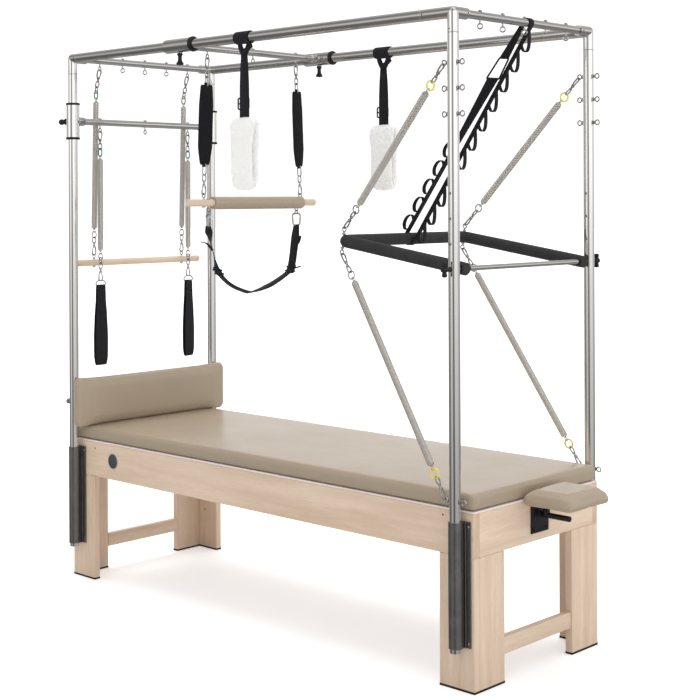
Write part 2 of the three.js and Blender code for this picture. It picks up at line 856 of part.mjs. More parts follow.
// Canopy
function addClamps() {
  const shell = tubeRadius + seat + clampShell;
  const toFace = postY - tableY - seat;
  const bore = tubeRadius + seat;
  ends.forEach(([end, endSign]) => sides.forEach(([side, sideSign]) => {
    const centre = at(endSign * postX, sideSign * postY, clampBottomZ + clampHeight / 2);
    const inward = at(0, -sideSign, 0);
    const across = inward.clone().cross(axisZ);
    const tip = at(centre.x, centre.y, clampBottomZ);
    const top = tip.clone().setZ(clampBottomZ + clampHeight);
    const base = [
      [toFace - clampFlangeThickness, -clampFlangeHalf], [toFace, -clampFlangeHalf],
      [toFace, clampFlangeHalf], [toFace - clampFlangeThickness, clampFlangeHalf],
    ];
    const neck = [[0, -clampNeckHalf], [toFace, -clampNeckHalf], [toFace, clampNeckHalf], [0, clampNeckHalf]];
    const flange = slab(base, [], centre, inward, across, clampHeight);
    const web = slab(neck, [], centre, inward, across, clampHeight);
    const screws = [];
    [clampScrewInsetZ, clampHeight - clampScrewInsetZ].forEach((rise) => [-1, 1].forEach((way) => {
      const seatAt = tip.clone().addScaledVector(inward, toFace - clampFlangeThickness);
      seatAt.addScaledVector(across, way * clampScrewInsetY).setZ(clampBottomZ + rise);
      const head = seatAt.clone().addScaledVector(inward, -clampScrewHeight);
      const root = seatAt.clone().addScaledVector(inward, clampFlangeThickness / 2);
      screws.push(rod(root, head, clampScrewRadius, smallSides - 1));
    }));
    const body = join(rod(tip, top, shell), solidOf(flange), solidOf(web), screws);
    addPiece(`clamp_${end}_${side}`, cut(body, rod(...longer(tip, top, overrun), bore)), darkMetal);
  }));
}

function addPosts() {
  ends.forEach(([end, endSign]) => sides.forEach(([side, sideSign]) => {
    const foot = at(endSign * postX, sideSign * postY, postBottomZ);
    const top = foot.clone().setZ(railZ - fittingDrop - seat);
    let post = pipe(foot, top, tubeRadius, tubeRadius - tubeWall);
    if (endSign > 0) {
      for (let i = 0; i < pivotHoleCount; i += 1) {
        const near = foot.clone().setZ(pushPivotZ + i * pivotHolePitch).setY(foot.y - tubeRadius);
        const far = near.clone().setY(foot.y + tubeRadius);
        post = cut(post, rod(...longer(near, far, overrun), pivotHoleRadius, smallSides));
      }
      const heights = [postEyeLowZ];
      for (let i = 0; i < postEyeCount; i += 1) heights.push(postEyeTopZ - i * postEyePitch);
      heights.forEach((z) => {
        const left = foot.clone().setZ(z).setX(foot.x - postEyeReach);
        const right = left.clone().setX(foot.x + postEyeReach);
        const wall = tubeRadius - tubeWall / 2;
        const bolts = [[left, -1], [right, 1]].map(([eye, way]) => [
          link(eye, axisX, axisZ, 2 * eyeRadius, 2 * eyeRadius, eyeWire),
          rod(
            eye.clone().setX(foot.x + way * wall), eye.clone().setX(eye.x - way * eyeRadius),
            shankRadius, smallSides - 1,
          ),
        ]);
        post = join(post, bolts.flat());
      });
    } else {
      const hole = at(foot.x - tubeRadius, foot.y, cushionBoltZ);
      const away = hole.clone().setX(foot.x + tubeRadius);
      post = cut(post, rod(...longer(hole, away, overrun), cushionBoltRadius + seat, smallSides));
    }
    addPiece(`post_${end}_${side}`, post, steel);
  }));
}

function addCornerFittings() {
  const spigot = tubeRadius - tubeWall - seat;
  ends.forEach(([end, endSign]) => sides.forEach(([side, sideSign]) => {
    const corner = at(endSign * postX, sideSign * postY, railZ);
    const reach = endSign > 0 ? fittingFootReach : fittingHeadReach;
    const legs = [
      [at(0, 0, -1), fittingDrop, true],
      [at(-endSign, 0, 0), reach, true],
      [at(0, -sideSign, 0), fittingCrossReach, false],
    ];
    let body = ball(corner, tubeRadius);
    legs.forEach(([way, length, plugged]) => {
      const stop = corner.clone().addScaledVector(way, length);
      body = join(body, rod(corner, stop, tubeRadius));
      if (plugged) {
        const plug = stop.clone().addScaledVector(way, spigotLength);
        body = join(body, rod(stop.clone().addScaledVector(way, -overrun), plug, spigot, tubeSides));
      } else {
        const floor = stop.clone().addScaledVector(way, -crossSocketDepth);
        const mouth = stop.clone().addScaledVector(way, overrun);
        body = cut(body, rod(floor, mouth, crossbarRadius + seat));
      }
    });
    addPiece(`corner_${end}_${side}`, body, steel);
  }));
}

function addLongRails() {
  sides.forEach(([side, sign]) => {
    const start = at(-postX + fittingHeadReach + seat, sign * postY, railZ);
    const stop = at(postX - fittingFootReach - seat, sign * postY, railZ);
    addPiece(`long_rail_${side}`, pipe(start, stop, tubeRadius, tubeRadius - tubeWall), steel);
  });
}

function hangingEyes(x, z, radius, pitches) {
  const bolts = [];
  pitches.forEach((pitch) => {
    const eye = at(x, pitch * crossbarEyePitch, z - crossbarEyeDrop);
    const wall = crossbarWall / 2;
    const reach = crossbarEyeDrop - radius + wall;
    bolts.push(...eyebolt(eye, axisZ, axisY, reach, reach + 2 * (radius - wall)));
  });
  return bolts;
}

function addCrossbars() {
  const halfY = postY - fittingCrossReach + crossSocketDepth - seat;
  ends.forEach(([end, sign]) => {
    const x = sign * postX;
    const tube = pipe(
      at(x, -halfY, railZ), at(x, halfY, railZ), crossbarRadius, crossbarRadius - crossbarWall,
    );
    const bolts = hangingEyes(x, railZ, crossbarRadius, [-2, -1, 0, 1, 2]);
    addPiece(`crossbar_${end}`, join(tube, bolts), steel);
  });
}

// Sliding bars

// One sleeve with its end rings and the boss of its pull knob
function sleeve(centre, along, length, ringEnds, knobWay, bossHeight) {
  const start = centre.clone().addScaledVector(along, -length / 2);
  const stop = centre.clone().addScaledVector(along, length / 2);
  const rings = ringEnds.map((sign) => {
    const edge = centre.clone().addScaledVector(along, (sign * length) / 2);
    return rod(edge, edge.clone().addScaledVector(along, sign * sleeveRingHeight), sleeveRingRadius);
  });
  const boss = centre.clone().addScaledVector(knobWay, sleeveRadius + bossHeight);
  const bore = rod(...longer(start, stop, sleeveRingHeight + overrun), tubeRadius + sleeveClearance);
  const pinHole = rod(centre, boss.clone().addScaledVector(knobWay, overrun), knobPinRadius + seat, smallSides);
  const shell = join(rod(start, stop, sleeveRadius), rings, rod(centre, boss, knobBossRadius, smallSides));
  return { shell, bore, pinHole };
}

function addSlider(name, x, z, along, length, ringEnds, knob) {
  const knobWay = knob.way;
  const shells = [];
  const cuts = [];
  sides.forEach(([side, sign]) => {
    const centre = at(x, sign * postY, z);
    const made = sleeve(centre, along, length, ringEnds, knobWay, knob.boss);
    const inward = at(0, -sign, 0);
    const socketEnd = centre.clone().addScaledVector(inward, sliderSocketReach);
    const boltAt = centre.clone().addScaledVector(inward, (sleeveRadius + sliderSocketReach) / 2);
    const boltTip = boltAt.clone().addScaledVector(axisX, sliderSocketRadius + sliderBoltLength);
    shells.push(made.shell, rod(centre, socketEnd, sliderSocketRadius), rod(boltAt, boltTip, sliderBoltRadius, smallSides));
    cuts.push(made.bore, made.pinHole);
    addKnob(`${name}_knob_${side}`, centre, knob);
  });
  const bar = rod(at(x, -postY, z), at(x, postY, z), sliderBarRadius);
  const bolts = hangingEyes(x, z, sliderBarRadius, [-2, 0, 2]);
  addPiece(`${name}_slider`, join(cut(join(bar, shells), cuts), bolts), steel);
}

function addKnob(name, centre, knob) {
  const spot = (reach) => centre.clone().addScaledVector(knob.way, reach);
  const head = sleeveRadius + knob.boss + seat;
  const waist = head + knobFlangeHeight;
  const tip = sleeveRadius + knob.boss + knob.length;
  addPiece(name, join(
    rod(spot(knobTip), spot(waist), knobPinRadius, smallSides),
    rod(spot(head), spot(waist), knobFlangeRadius, knobSides),
    rod(spot(waist), spot(tip), knobWaistRadius, knobSides, knobHeadRadius),
  ), blackPlastic);
}

// Push-through bar
function addPushBar() {
  const arms = sides.map(([, sign]) => {
    const pivot = at(postX, sign * pushArmY, pushPivotZ);
    const corner = at(pushCrossX, sign * pushArmY, pushCrossZ);
    const way = pivot.clone().sub(corner).normalize();
    const up = at(-way.z, 0, way.x);
    const end = pivot.clone().addScaledVector(way, pushEndReach);
    const eyes = [-1, 1].map((turn) => {
      const out = up.clone().multiplyScalar(turn);
      const eye = corner.clone().addScaledVector(out, pushEyeReach);
      const inside = eye.clone().addScaledVector(out, -pushPadRadius);
      const across = out.clone().cross(axisY);
      return [
        link(eye, out, across, 2 * eyeRadius, 2 * eyeRadius, eyeWire),
        rod(eye.clone().addScaledVector(out, -eyeRadius), inside, shankRadius, smallSides - 1),
      ];
    });
    const arm = rod(corner, end, pushPadRadius, barSides);
    return join(arm, ball(corner, pushPadRadius, barSides), ...eyes);
  });
  const cross = rod(
    at(pushCrossX, -pushArmY, pushCrossZ), at(pushCrossX, pushArmY, pushCrossZ),
    pushPadRadius, barSides,
  );
  const halfHole = pushArmY + pushPadRadius + overrun;
  const hole = rod(
    at(postX, -halfHole, pushPivotZ), at(postX, halfHole, pushPivotZ), pushRodRadius + seat,
  );
  addPiece('push_bar', cut(join(arms, cross), hole), padFoam);
  const halfRod = postY - tubeRadius - seat;
  const studEnd = postY + tubeRadius + studInHub;
  addPiece('push_rod', join(
    rod(at(postX, -halfRod, pushPivotZ), at(postX, halfRod, pushPivotZ), pushRodRadius),
    rod(at(postX, -studEnd, pushPivotZ), at(postX, studEnd, pushPivotZ), pushStudRadius, smallSides),
  ), steel);
  sides.forEach(([side, sign]) => addWingKnob(`wing_knob_${side}`, sign));
}

function addWingKnob(name, sign) {
  const base = postY + tubeRadius + seat;
  const spot = (reach) => at(postX, sign * (base + reach), pushPivotZ);
  const half = wingSpan / 2;
  const shares = [[1, 0.25], [0.85, 0.95], [0.3, 0.55], [-0.3, 0.55], [-0.85, 0.95], [-1, 0.25]];
  const upper = shares.map(([along, out]) => [along * half, (out * wingWidth) / 2]);
  const lower = upper.map(([along, out]) => [-along, -out]);
  const wing = slab([...upper, ...lower], [], spot(wingFromTube), axisZ, axisX, wingThickness);
  const hub = join(rod(spot(0), spot(wingHubLength), wingHubRadius, knobSides), solidOf(wing));
  const boreRadius = (pushStudRadius + studClearance) / Math.cos(Math.PI / smallSides);
  const bore = rod(spot(-overrun), spot(studInHub + seat), boreRadius, smallSides);
  addPiece(name, cut(hub, bore), blackPlastic);
}

function addPushSprings() {
  const way = at(postX - pushCrossX, 0, pushPivotZ - pushCrossZ).normalize();
  const up = at(-way.z, 0, way.x);
  sides.forEach(([side, sign]) => {
    const corner = at(pushCrossX, sign * pushArmY, pushCrossZ);
    const upperEye = corner.clone().addScaledVector(up, pushEyeReach);
    const lowerEye = corner.clone().addScaledVector(up, -pushEyeReach);
    const highPost = at(postX - postEyeReach, sign * postY, postEyeTopZ);
    const lowPost = at(postX - postEyeReach, sign * postY, postEyeLowZ);
    addPiece(`push_spring_upper_${side}`, chainBetween(highPost, upperEye, axisY, hookedSpring(coloured, plain)), wireMetal);
    addPiece(`push_spring_lower_${side}`, chainBetween(lowPost, lowerEye, axisY, hookedSpring(coloured, coloured)), wireMetal);
  });
}

// Safety strap: a belt of looped webbing round the foot crossbar and the push bar. It is
// drawn in the plane of the lengthwise direction along the belt and the direction out of it.
function addSafetyStrap() {
  const y = nutRadius + strapPastNut + webbingWidth / 2;
  const top = at(postX, y, railZ);
  const bottom = at(pushCrossX, y, pushCrossZ);
  const length = bottom.distanceTo(top);
  const along = bottom.clone().sub(top).normalize();
  const out = axisY.clone().cross(along);
  const half = webbingThickness / 2;
  const topBore = crossbarRadius + seat;
  const lowBore = pushPadRadius + seat;
  const slope = Math.asin((lowBore - topBore) / length);
  const runLength = length * Math.cos(slope);
  const onRun = (turn) => ([s, rise]) => {
    const lift = topBore + half + rise;
    const u = s * Math.cos(slope) - lift * Math.sin(slope);
    return [u, turn * (s * Math.sin(slope) + lift * Math.cos(slope))];
  };
  const solidFrom = (outline, holes) => solidOf(
    slab(outline, holes, top, along, out, webbingWidth),
  );
  const solids = [[0, topBore], [length, lowBore]].map(([centre, bore]) => {
    const place = ([a, b]) => [centre + a, b];
    const hole = circle(bore / Math.cos(Math.PI / tubeSides)).map(place);
    return solidFrom(circle(bore + webbingThickness).map(place), [hole]);
  });
  const connectorEnd = connectorStart + connectorLength;
  const pitch = strapLoopPitchShare * runLength;
  const stretches = [
    [frontTurn, 0, runLength, frontLoopCount],
    [-frontTurn, 0, connectorStart, 0],
    [-frontTurn, connectorEnd, runLength, rearLoopCount],
  ];
  stretches.forEach(([turn, start, stop, loops]) => {
    const outline = [[start, -half], [stop, -half], [stop, half]];
    const holes = [];
    for (let i = 0; i < loops; i += 1) {
      const foot = runLength - strapLoopMargin - strapLoopLength - i * pitch;
      const line = strapLoopShares.map(([a, b]) => [foot + a * strapLoopLength, b * strapLoopBulge]);
      const band = ribbon(line, webbingThickness).map(([a, b]) => [a, Math.max(b, half)]);
      outline.push(...band.slice(0, line.length).reverse());
      holes.push(band.slice(line.length));
    }
    outline.push([start, half]);
    solids.push(solidFrom(outline.map(onRun(turn)), holes.map((hole) => hole.map(onRun(turn)))));
  });
  const frameCorner = (s, width) => {
    const [u, v] = onRun(-frontTurn)([s, 0]);
    return top.clone().addScaledVector(along, u).addScaledVector(out, v).setY(y + width);
  };
  const [near, far] = [connectorStart - connectorWire, connectorEnd + connectorWire];
  const frame = [
    frameCorner(near, -connectorNarrow / 2), frameCorner(near, connectorNarrow / 2),
    frameCorner(far, connectorWide / 2), frameCorner(far, -connectorWide / 2),
  ];
  solids.push(wire(frame, connectorWire, frameSides, out));
  addPiece('safety_strap', join(solids), blackFabric);
}

// Roll-down bar
function addRollDown() {
  const eyes = [];
  sides.forEach(([side, sign]) => {
    const topEye = at(-postX, sign * eyeOuterY, eyeZ);
    const bend = at(rollBendX, sign * eyeOuterY, rollBendZ);
    const barEye = at(rollBarX, sign * eyeOuterY, rollBarZ + barEyeReach);
    const top = hookPoint(topEye, bend.clone().sub(topEye));
    const upper = snap(top, bend, axisY, 1);
    const rest = [coloured, { kind: 'coil' }, plain, snapBack];
    const lower = chain(bend, hookPoint(barEye, bend.clone().sub(barEye)), axisX, rest);
    addPiece(`roll_spring_${side}`, join(upper, lower), wireMetal);
    const underside = barEyeReach + rollBarRadius - crossbarWall / 2;
    const tail = barEyeReach + rollEyeBelow;
    eyes.push(...eyebolt(barEye, axisZ.clone().negate(), axisY, tail, underside));
  });
  const half = rollBarLength / 2;
  const dowel = rod(at(rollBarX, -half, rollBarZ), at(rollBarX, half, rollBarZ), rollBarRadius);
  addPiece('roll_bar', join(dowel, eyes), maple);
}

// Hand loops
function handStrap(x, y) {
  const height = handStrapLength;
  const halfDepth = (handStrapDepth - handStrapThickness) / 2;
  const halfShares = [[0.3, 0], [0.75, 0.06], [1, 0.2], [1, 0.8], [0.85, 0.95], [0.4, 1]];
  const left = halfShares.map(([out, down]) => [-out * halfDepth, -down * height]);
  const right = left.map(([a, b]) => [-a, b]).reverse();
  const path = [...left, ...right];
  const outer = [];
  const inner = [];
  path.forEach(([a, b], i) => {
    const back = path[(i + path.length - 1) % path.length];
    const ahead = path[(i + 1) % path.length];
    const run = Math.hypot(ahead[0] - back[0], ahead[1] - back[1]);
    const normal = [(ahead[1] - back[1]) / run, -(ahead[0] - back[0]) / run];
    const half = handStrapThickness / 2;
    outer.push([a + normal[0] * half, b + normal[1] * half]);
    inner.push([a - normal[0] * half, b - normal[1] * half]);
  });
  const band = slab(outer, [inner], at(x, y, handStrapTopZ), axisX, axisZ, handStrapWidth);
  const position = band.attributes.position;
  for (let i = 0; i < position.count; i += 1) {
    const share = (handStrapTopZ - position.getZ(i)) / height;
    const grow = 1 + (share * handStrapFlare) / handStrapWidth;
    position.setY(i, y + (position.getY(i) - y) * grow);
  }
  return solidOf(band);
}

function addHandLoops() {
  const x = -postX;
  const eye = headSliderZ - crossbarEyeDrop;
  sides.forEach(([side, sign]) => {
    const y = sign * eyeOuterY;
    const topEye = at(x, y, eye);
    const bottom = at(x, y, handSpringBottomZ);
    addPiece(`hand_spring_${side}`, chain(hookPoint(topEye, bottom.clone().sub(topEye)), bottom, axisY, ringedSpring), wireMetal);
    const lastRing = at(x, y, handSpringBottomZ + smallRing / 2);
    const rest = lastRing.clone().setZ(lastRing.z - restIn(smallRing / 2, linkWire, linkWire, linkWire));
    const buckleTop = handStrapTopZ + handBuckleLength - handStrapThickness;
    const clip = snap(rest, at(x, y, buckleTop), axisY, -1);
    const buckle = link(
      at(x, y, buckleTop - handBuckleLength / 2), axisZ, axisY, handBuckleLength, handBuckleWidth, linkWire,
    );
    addPiece(`hand_loop_${side}`, join(clip, buckle, handStrap(x, y)), blackFabric);
  });
}

// Trapeze and sling
function addTrapeze() {
  const x = topSliderX;
  const boltEyes = [];
  const slots = [];
  sides.forEach(([side, sign]) => {
    const sliderEye = at(x, sign * eyeOuterY, eyeZ);
    const barEye = at(x, sign * trapezeUpperEyeY, trapezeBarZ + barEyeReach);
    const slingEye = at(x, sign * eyeOuterY, trapezeBarZ - barEyeReach);
    const way = barEye.clone().sub(sliderEye).normalize();
    const spotAt = (z) => sliderEye.clone().addScaledVector(way, (z - sliderEye.z) / way.z);
    const strapTop = spotAt(trapezeStrapTopZ);
    const strapBottom = spotAt(trapezeStrapBottomZ);
    const top = hookPoint(sliderEye, way);
    const bottom = hookPoint(barEye, way.clone().negate());
    const upper = snap(top, strapTop, axisY, 1);
    const lowerLink = strapBottom.distanceTo(bottom) - smallRing - snapLength;
    const lower = chain(strapBottom, bottom, axisX, [
      { kind: 'link', length: smallRing + lowerLink, width: smallRing, radius: linkWire }, snapBack,
    ]);
    addPiece(`trapeze_strap_${side}`, join(upper, lower, paddedStrap(strapTop, strapBottom)), blackFabric);
    [[barEye, -1], [slingEye, 1]].forEach(([eye, turn]) => {
      const shankWay = axisZ.clone().multiplyScalar(turn);
      const nutStart = barEyeReach + trapezeBarRadius - crossbarWall / 2;
      boltEyes.push(...eyebolt(eye, shankWay, axisY, barEyeReach, nutStart));
      const slot = eyeWire + seat;
      const reach = eyeRadius / Math.cos(ringBend) + eyeWire + seat;
      slots.push(rod(eye.clone().setY(eye.y - slot), eye.clone().setY(eye.y + slot), reach));
      const far = eye.clone().addScaledVector(shankWay, 2 * barEyeReach);
      slots.push(rod(eye, far, nutRadius + seat, smallSides));
    });
  });
  const half = trapezeBarLength / 2;
  const bar = rod(at(x, -half, trapezeBarZ), at(x, half, trapezeBarZ), trapezeBarRadius);
  addPiece('trapeze_bar', join(bar, boltEyes), maple);
  const sleevePad = pipe(
    at(x, trapezePadStart, trapezeBarZ), at(x, trapezePadEnd, trapezeBarZ),
    trapezePadRadius, trapezeBarRadius + 2 * seat,
  );
  addPiece('trapeze_pad', cut(sleevePad, slots), darkVinyl);
}

function paddedStrap(top, bottom) {
  const height = top.distanceTo(bottom);
  const widest = trapezeStrapWidth / 2;
  const narrow = widest - trapezeStrapNarrow;
  const levels = [[0, narrow], [0.08, widest], [0.92, widest], [1, narrow]];
  const left = levels.map(([share, half]) => [-half, -share * height]);
  const right = levels.map(([share, half]) => [half, -share * height]).reverse();
  const way = top.clone().sub(bottom).normalize();
  const across = axisX.clone().cross(way);
  return solidOf(slab([...left, ...right], [], top, across.negate(), way, trapezeStrapThickness));
}

function addSling() {
  const x = topSliderX;
  const span = 2 * eyeOuterY;
  const curve = new THREE.CatmullRomCurve3(
    slingPathShares.map(([a, b]) => at(0, a * span, slingTopZ - b * slingDrop)), false, 'centripetal',
  );
  const steps = slingPathShares.length + slingBuckleShares.length * 2;
  const path = curve.getPoints(steps).map((point) => [point.y, point.z]);
  const middle = at(x, 0, 0);
  const solids = [solidOf(slab(ribbon(path, slingThickness), [], middle, axisY, axisZ, slingWidth))];
  slingBuckleShares.forEach((share) => {
    const spot = curve.getPointAt(share);
    const tangent = curve.getTangentAt(share).multiplyScalar(slingBuckleLength / 2);
    const ends = [spot.clone().sub(tangent), spot.clone().add(tangent)].map((p) => [p.y, p.z]);
    solids.push(solidOf(slab(ribbon(ends, slingBuckleThickness), [], middle, axisY, axisZ, slingWidth)));
  });
  sides.forEach(([, sign]) => {
    const eye = at(x, sign * eyeOuterY, trapezeBarZ - barEyeReach);
    const peak = clipWidth / 2 / Math.cos(ringBend);
    const spread = eyeWire * Math.sin(Math.PI / wireSides) * Math.tan(ringBend);
    const ahead = (linkWire * wireFlat) / Math.cos(ringBend) + spread;
    const drop = restIn(eyeRadius, eyeWire, ahead, linkWire * Math.sin(Math.PI / wireSides));
    const ring = eye.clone().setZ(eye.z - drop - peak);
    const ringBottom = ring.clone().setZ(ring.z - peak);
    solids.push(link(ring, axisZ, axisY, clipWidth, clipWidth, linkWire));
    const low = slingTopZ - slingCarabinerWire;
    const corners = [
      at(x - slingCarabinerTop / 2, eye.y, ringBottom.z), at(x + slingCarabinerTop / 2, eye.y, ringBottom.z),
      at(x + slingCarabinerBottom / 2, eye.y, low), at(x - slingCarabinerBottom / 2, eye.y, low),
    ];
    solids.push(wire(corners, slingCarabinerWire, frameSides, axisY));
  });
  addPiece('trapeze_sling', join(solids), blackFabric);
}

// Fleece loops
function addFurLoops() {
  sides.forEach(([side, sign]) => {
    const y = sign * postY;
    const half = furChokerLength / 2;
    const bore = (tubeRadius + furChokerClearance) / Math.cos(Math.PI / tubeSides);
    const wrap = pipe(
      at(furStrapX - half, y, railZ), at(furStrapX + half, y, railZ), bore + furChokerThickness, bore,
    );
    const wrapBottom = railZ - bore;
    const webBottom = wrapBottom - furWebDrop;
    const narrow = furStrapWidth / 2;
    const web = [
      [-half, wrapBottom - furChokerThickness / 2], [-narrow, webBottom], [-narrow, furLoopTopZ - furThickness / 2],
      [narrow, furLoopTopZ - furThickness / 2], [narrow, webBottom], [half, wrapBottom - furChokerThickness / 2],
    ];
    const strap = slab(web, [], at(furStrapX, y, 0), axisX, axisZ, furStrapThickness);
    const buckleBottom = furLoopTopZ + furBuckleRise;
    const buckle = block(
      at(furStrapX - narrow - furBuckleReach, y - furStrapThickness, buckleBottom),
      at(furStrapX - narrow + overrun, y + furStrapThickness, buckleBottom + furBuckleHeight),
    );
    addPiece(`fur_loop_${side}`, join(wrap, solidOf(strap), buckle, furBand(y)), fleece);
  });
}

function furBand(y) {
  const height = furLoopLength;
  const outerHalf = furLoopDepth / 2;
  const profile = (inset) => {
    const half = outerHalf - inset;
    const tall = height - 2 * inset;
    const shares = [[0.3, 0], [0.75, 0.06], [1, 0.25], [0.98, 0.6], [0.95, 0.85], [0.6, 0.97], [0.2, 1]];
    const right = shares.map(([out, down]) => [out * half, -inset - down * tall]);
    const left = right.map(([a, b]) => [-a, b]).reverse();
    return [...right, ...left];
  };
  const band = slab(profile(0), [profile(furThickness)], at(furStrapX, y, furLoopTopZ), axisY, axisZ, furLoopWidth);
  return solidOf(band);
}

addAprons();
addLegs();
addTableBoards();
addUpholstery();
addEndPad();
addClamps();
addPosts();
addCornerFittings();
addLongRails();
addCrossbars();
addSlider('head', -postX, headSliderZ, axisZ, headSleeveLength, [-1, 1], {
  way: at(-1, 0, 0), boss: headKnobBoss, length: headKnobLength,
});
addSlider('top', topSliderX, railZ, axisX, topSleeveLength, [1], {
  way: at(0, 0, -1), boss: topKnobBoss, length: topKnobLength,
});
addPushBar();
addPushSprings();
addSafetyStrap();
addRollDown();
addHandLoops();
addTrapeze();
addSling();
addFurLoops();

console.log('least gap between the curls of a spring, mm:', Math.min(...gaps).toFixed(2));

// The origin is under the middle of the whole object
const reachHead = postX + sleeveRadius + headKnobBoss + headKnobLength;
const reachFoot = padX + padLengthX / 2;
group.position.x = (reachHead - reachFoot) / 2;

export default group;
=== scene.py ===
# A pilates trapeze table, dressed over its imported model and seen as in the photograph.
# Sizes are millimetres in the table's own axes; inMetres turns them into the frame's.
import math

import bmesh
import bpy
from mathutils.bvhtree import BVHTree
from mathutils import Matrix, Vector, noise


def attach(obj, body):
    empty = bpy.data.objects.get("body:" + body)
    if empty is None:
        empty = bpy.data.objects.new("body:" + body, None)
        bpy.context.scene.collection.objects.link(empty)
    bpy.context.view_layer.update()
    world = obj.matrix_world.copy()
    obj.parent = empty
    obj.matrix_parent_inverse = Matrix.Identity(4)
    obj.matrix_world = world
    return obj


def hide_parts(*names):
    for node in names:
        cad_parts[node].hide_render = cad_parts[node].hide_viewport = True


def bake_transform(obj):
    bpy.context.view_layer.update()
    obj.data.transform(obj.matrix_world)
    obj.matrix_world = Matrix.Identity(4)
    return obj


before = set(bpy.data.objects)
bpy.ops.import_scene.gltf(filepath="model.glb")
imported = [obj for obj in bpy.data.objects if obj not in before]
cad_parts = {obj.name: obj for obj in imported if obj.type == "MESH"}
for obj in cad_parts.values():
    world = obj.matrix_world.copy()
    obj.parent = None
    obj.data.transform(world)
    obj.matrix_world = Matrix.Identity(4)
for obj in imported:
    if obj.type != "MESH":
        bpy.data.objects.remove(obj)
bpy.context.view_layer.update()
scene = bpy.context.scene
rootBody = "canopy_and_table"
axisX, axisY, axisZ = Vector((1, 0, 0)), Vector((0, 1, 0)), Vector((0, 0, 1))
sides = (("front", -1), ("back", 1))
ends = (("head", -1), ("foot", 1))
originShift = 86.75  # the frame's middle, from the middle between the posts


def at(x, y, z):
    return Vector((x, y, z))


# Camera
view = {
    "place": (3.76805, -3.83136, 1.56616), "turn": 0.758918, "pitch": -0.000092, "roll": -0.004468,
    "lens": 72.312, "shiftX": -0.00317, "shiftY": -0.21427,
}


def placeCamera():
    turn, pitch, roll = view["turn"], view["pitch"], view["roll"]
    forward = Vector((-math.sin(turn) * math.cos(pitch), math.cos(turn) * math.cos(pitch), -math.sin(pitch)))
    level = Vector((math.cos(turn), math.sin(turn), 0))
    up = level.cross(forward)
    right = level * math.cos(roll) + up * math.sin(roll)
    top = up * math.cos(roll) - level * math.sin(roll)
    lens = bpy.data.cameras.new("photoView")
    lens.lens, lens.shift_x, lens.shift_y = view["lens"], view["shiftX"], view["shiftY"]
    lens.clip_start, lens.clip_end = 0.05, 200
    camera = bpy.data.objects.new("photoView", lens)
    scene.collection.objects.link(camera)
    facing = Matrix((right, top, -forward)).transposed().to_4x4()
    camera.matrix_world = Matrix.Translation(view["place"]) @ facing
    scene.camera = camera


placeCamera()
print("camera placed")


# Shader helpers
def node(tree, kind, settings=None, **inputs):
    made = tree.nodes.new(kind)
    for key, value in (settings or {}).items():
        setattr(made, key, value)
    for key, value in inputs.items():
        numbered = key[0] == "i" and key[1:].isdigit()
        socket = made.inputs[int(key[1:]) if numbered else key.replace("_", " ")]
        if isinstance(value, bpy.types.NodeSocket):
            tree.links.new(value, socket)
        else:
            socket.default_value = value
    return made


def calc(tree, operation, a, b=0.0):
    return node(tree, "ShaderNodeMath", {"operation": operation}, i0=a, i1=b).outputs[0]


def plus(tree, a, b):
    return calc(tree, "ADD", a, b)


def times(tree, a, b):
    return calc(tree, "MULTIPLY", a, b)


def weighed(tree, a, shareA, b, shareB):
    return plus(tree, times(tree, a, shareA), times(tree, b, shareB))


def newGroup(name, inputs, outputs, treeKind="ShaderNodeTree"):
    tree = bpy.data.node_groups.new(name, treeKind)
    for label, (kind, value) in inputs.items():
        socket = tree.interface.new_socket(label, in_out="INPUT", socket_type=kind)
        if value is not None:
            socket.default_value = value
    for label, kind in outputs.items():
        tree.interface.new_socket(label, in_out="OUTPUT", socket_type=kind)
    return tree, tree.nodes.new("NodeGroupInput").outputs, tree.nodes.new("NodeGroupOutput").inputs


def noiseOf(tree, place, scale, detail=3.0, rough=0.55):
    return node(tree, "ShaderNodeTexNoise", Vector=place, Scale=scale, Detail=detail, Roughness=rough).outputs["Fac"]


def spread(tree, value, low, high, fromLow=0.3, fromHigh=0.7):
    return node(
        tree, "ShaderNodeMapRange", i0=value, i1=fromLow, i2=fromHigh, i3=low, i4=high,
    ).outputs[0]


def mixColour(tree, share, a, b, blend="MIX"):
    made = tree.nodes.new("ShaderNodeMix")
    made.data_type, made.blend_type = "RGBA", blend
    for index, value in ((0, share), (6, a), (7, b)):
        if isinstance(value, bpy.types.NodeSocket):
            tree.links.new(value, made.inputs[index])
        else:
            made.inputs[index].default_value = value
    return made.outputs[2]


floatKind, vectorKind, colourKind = "NodeSocketFloat", "NodeSocketVector", "NodeSocketColor"


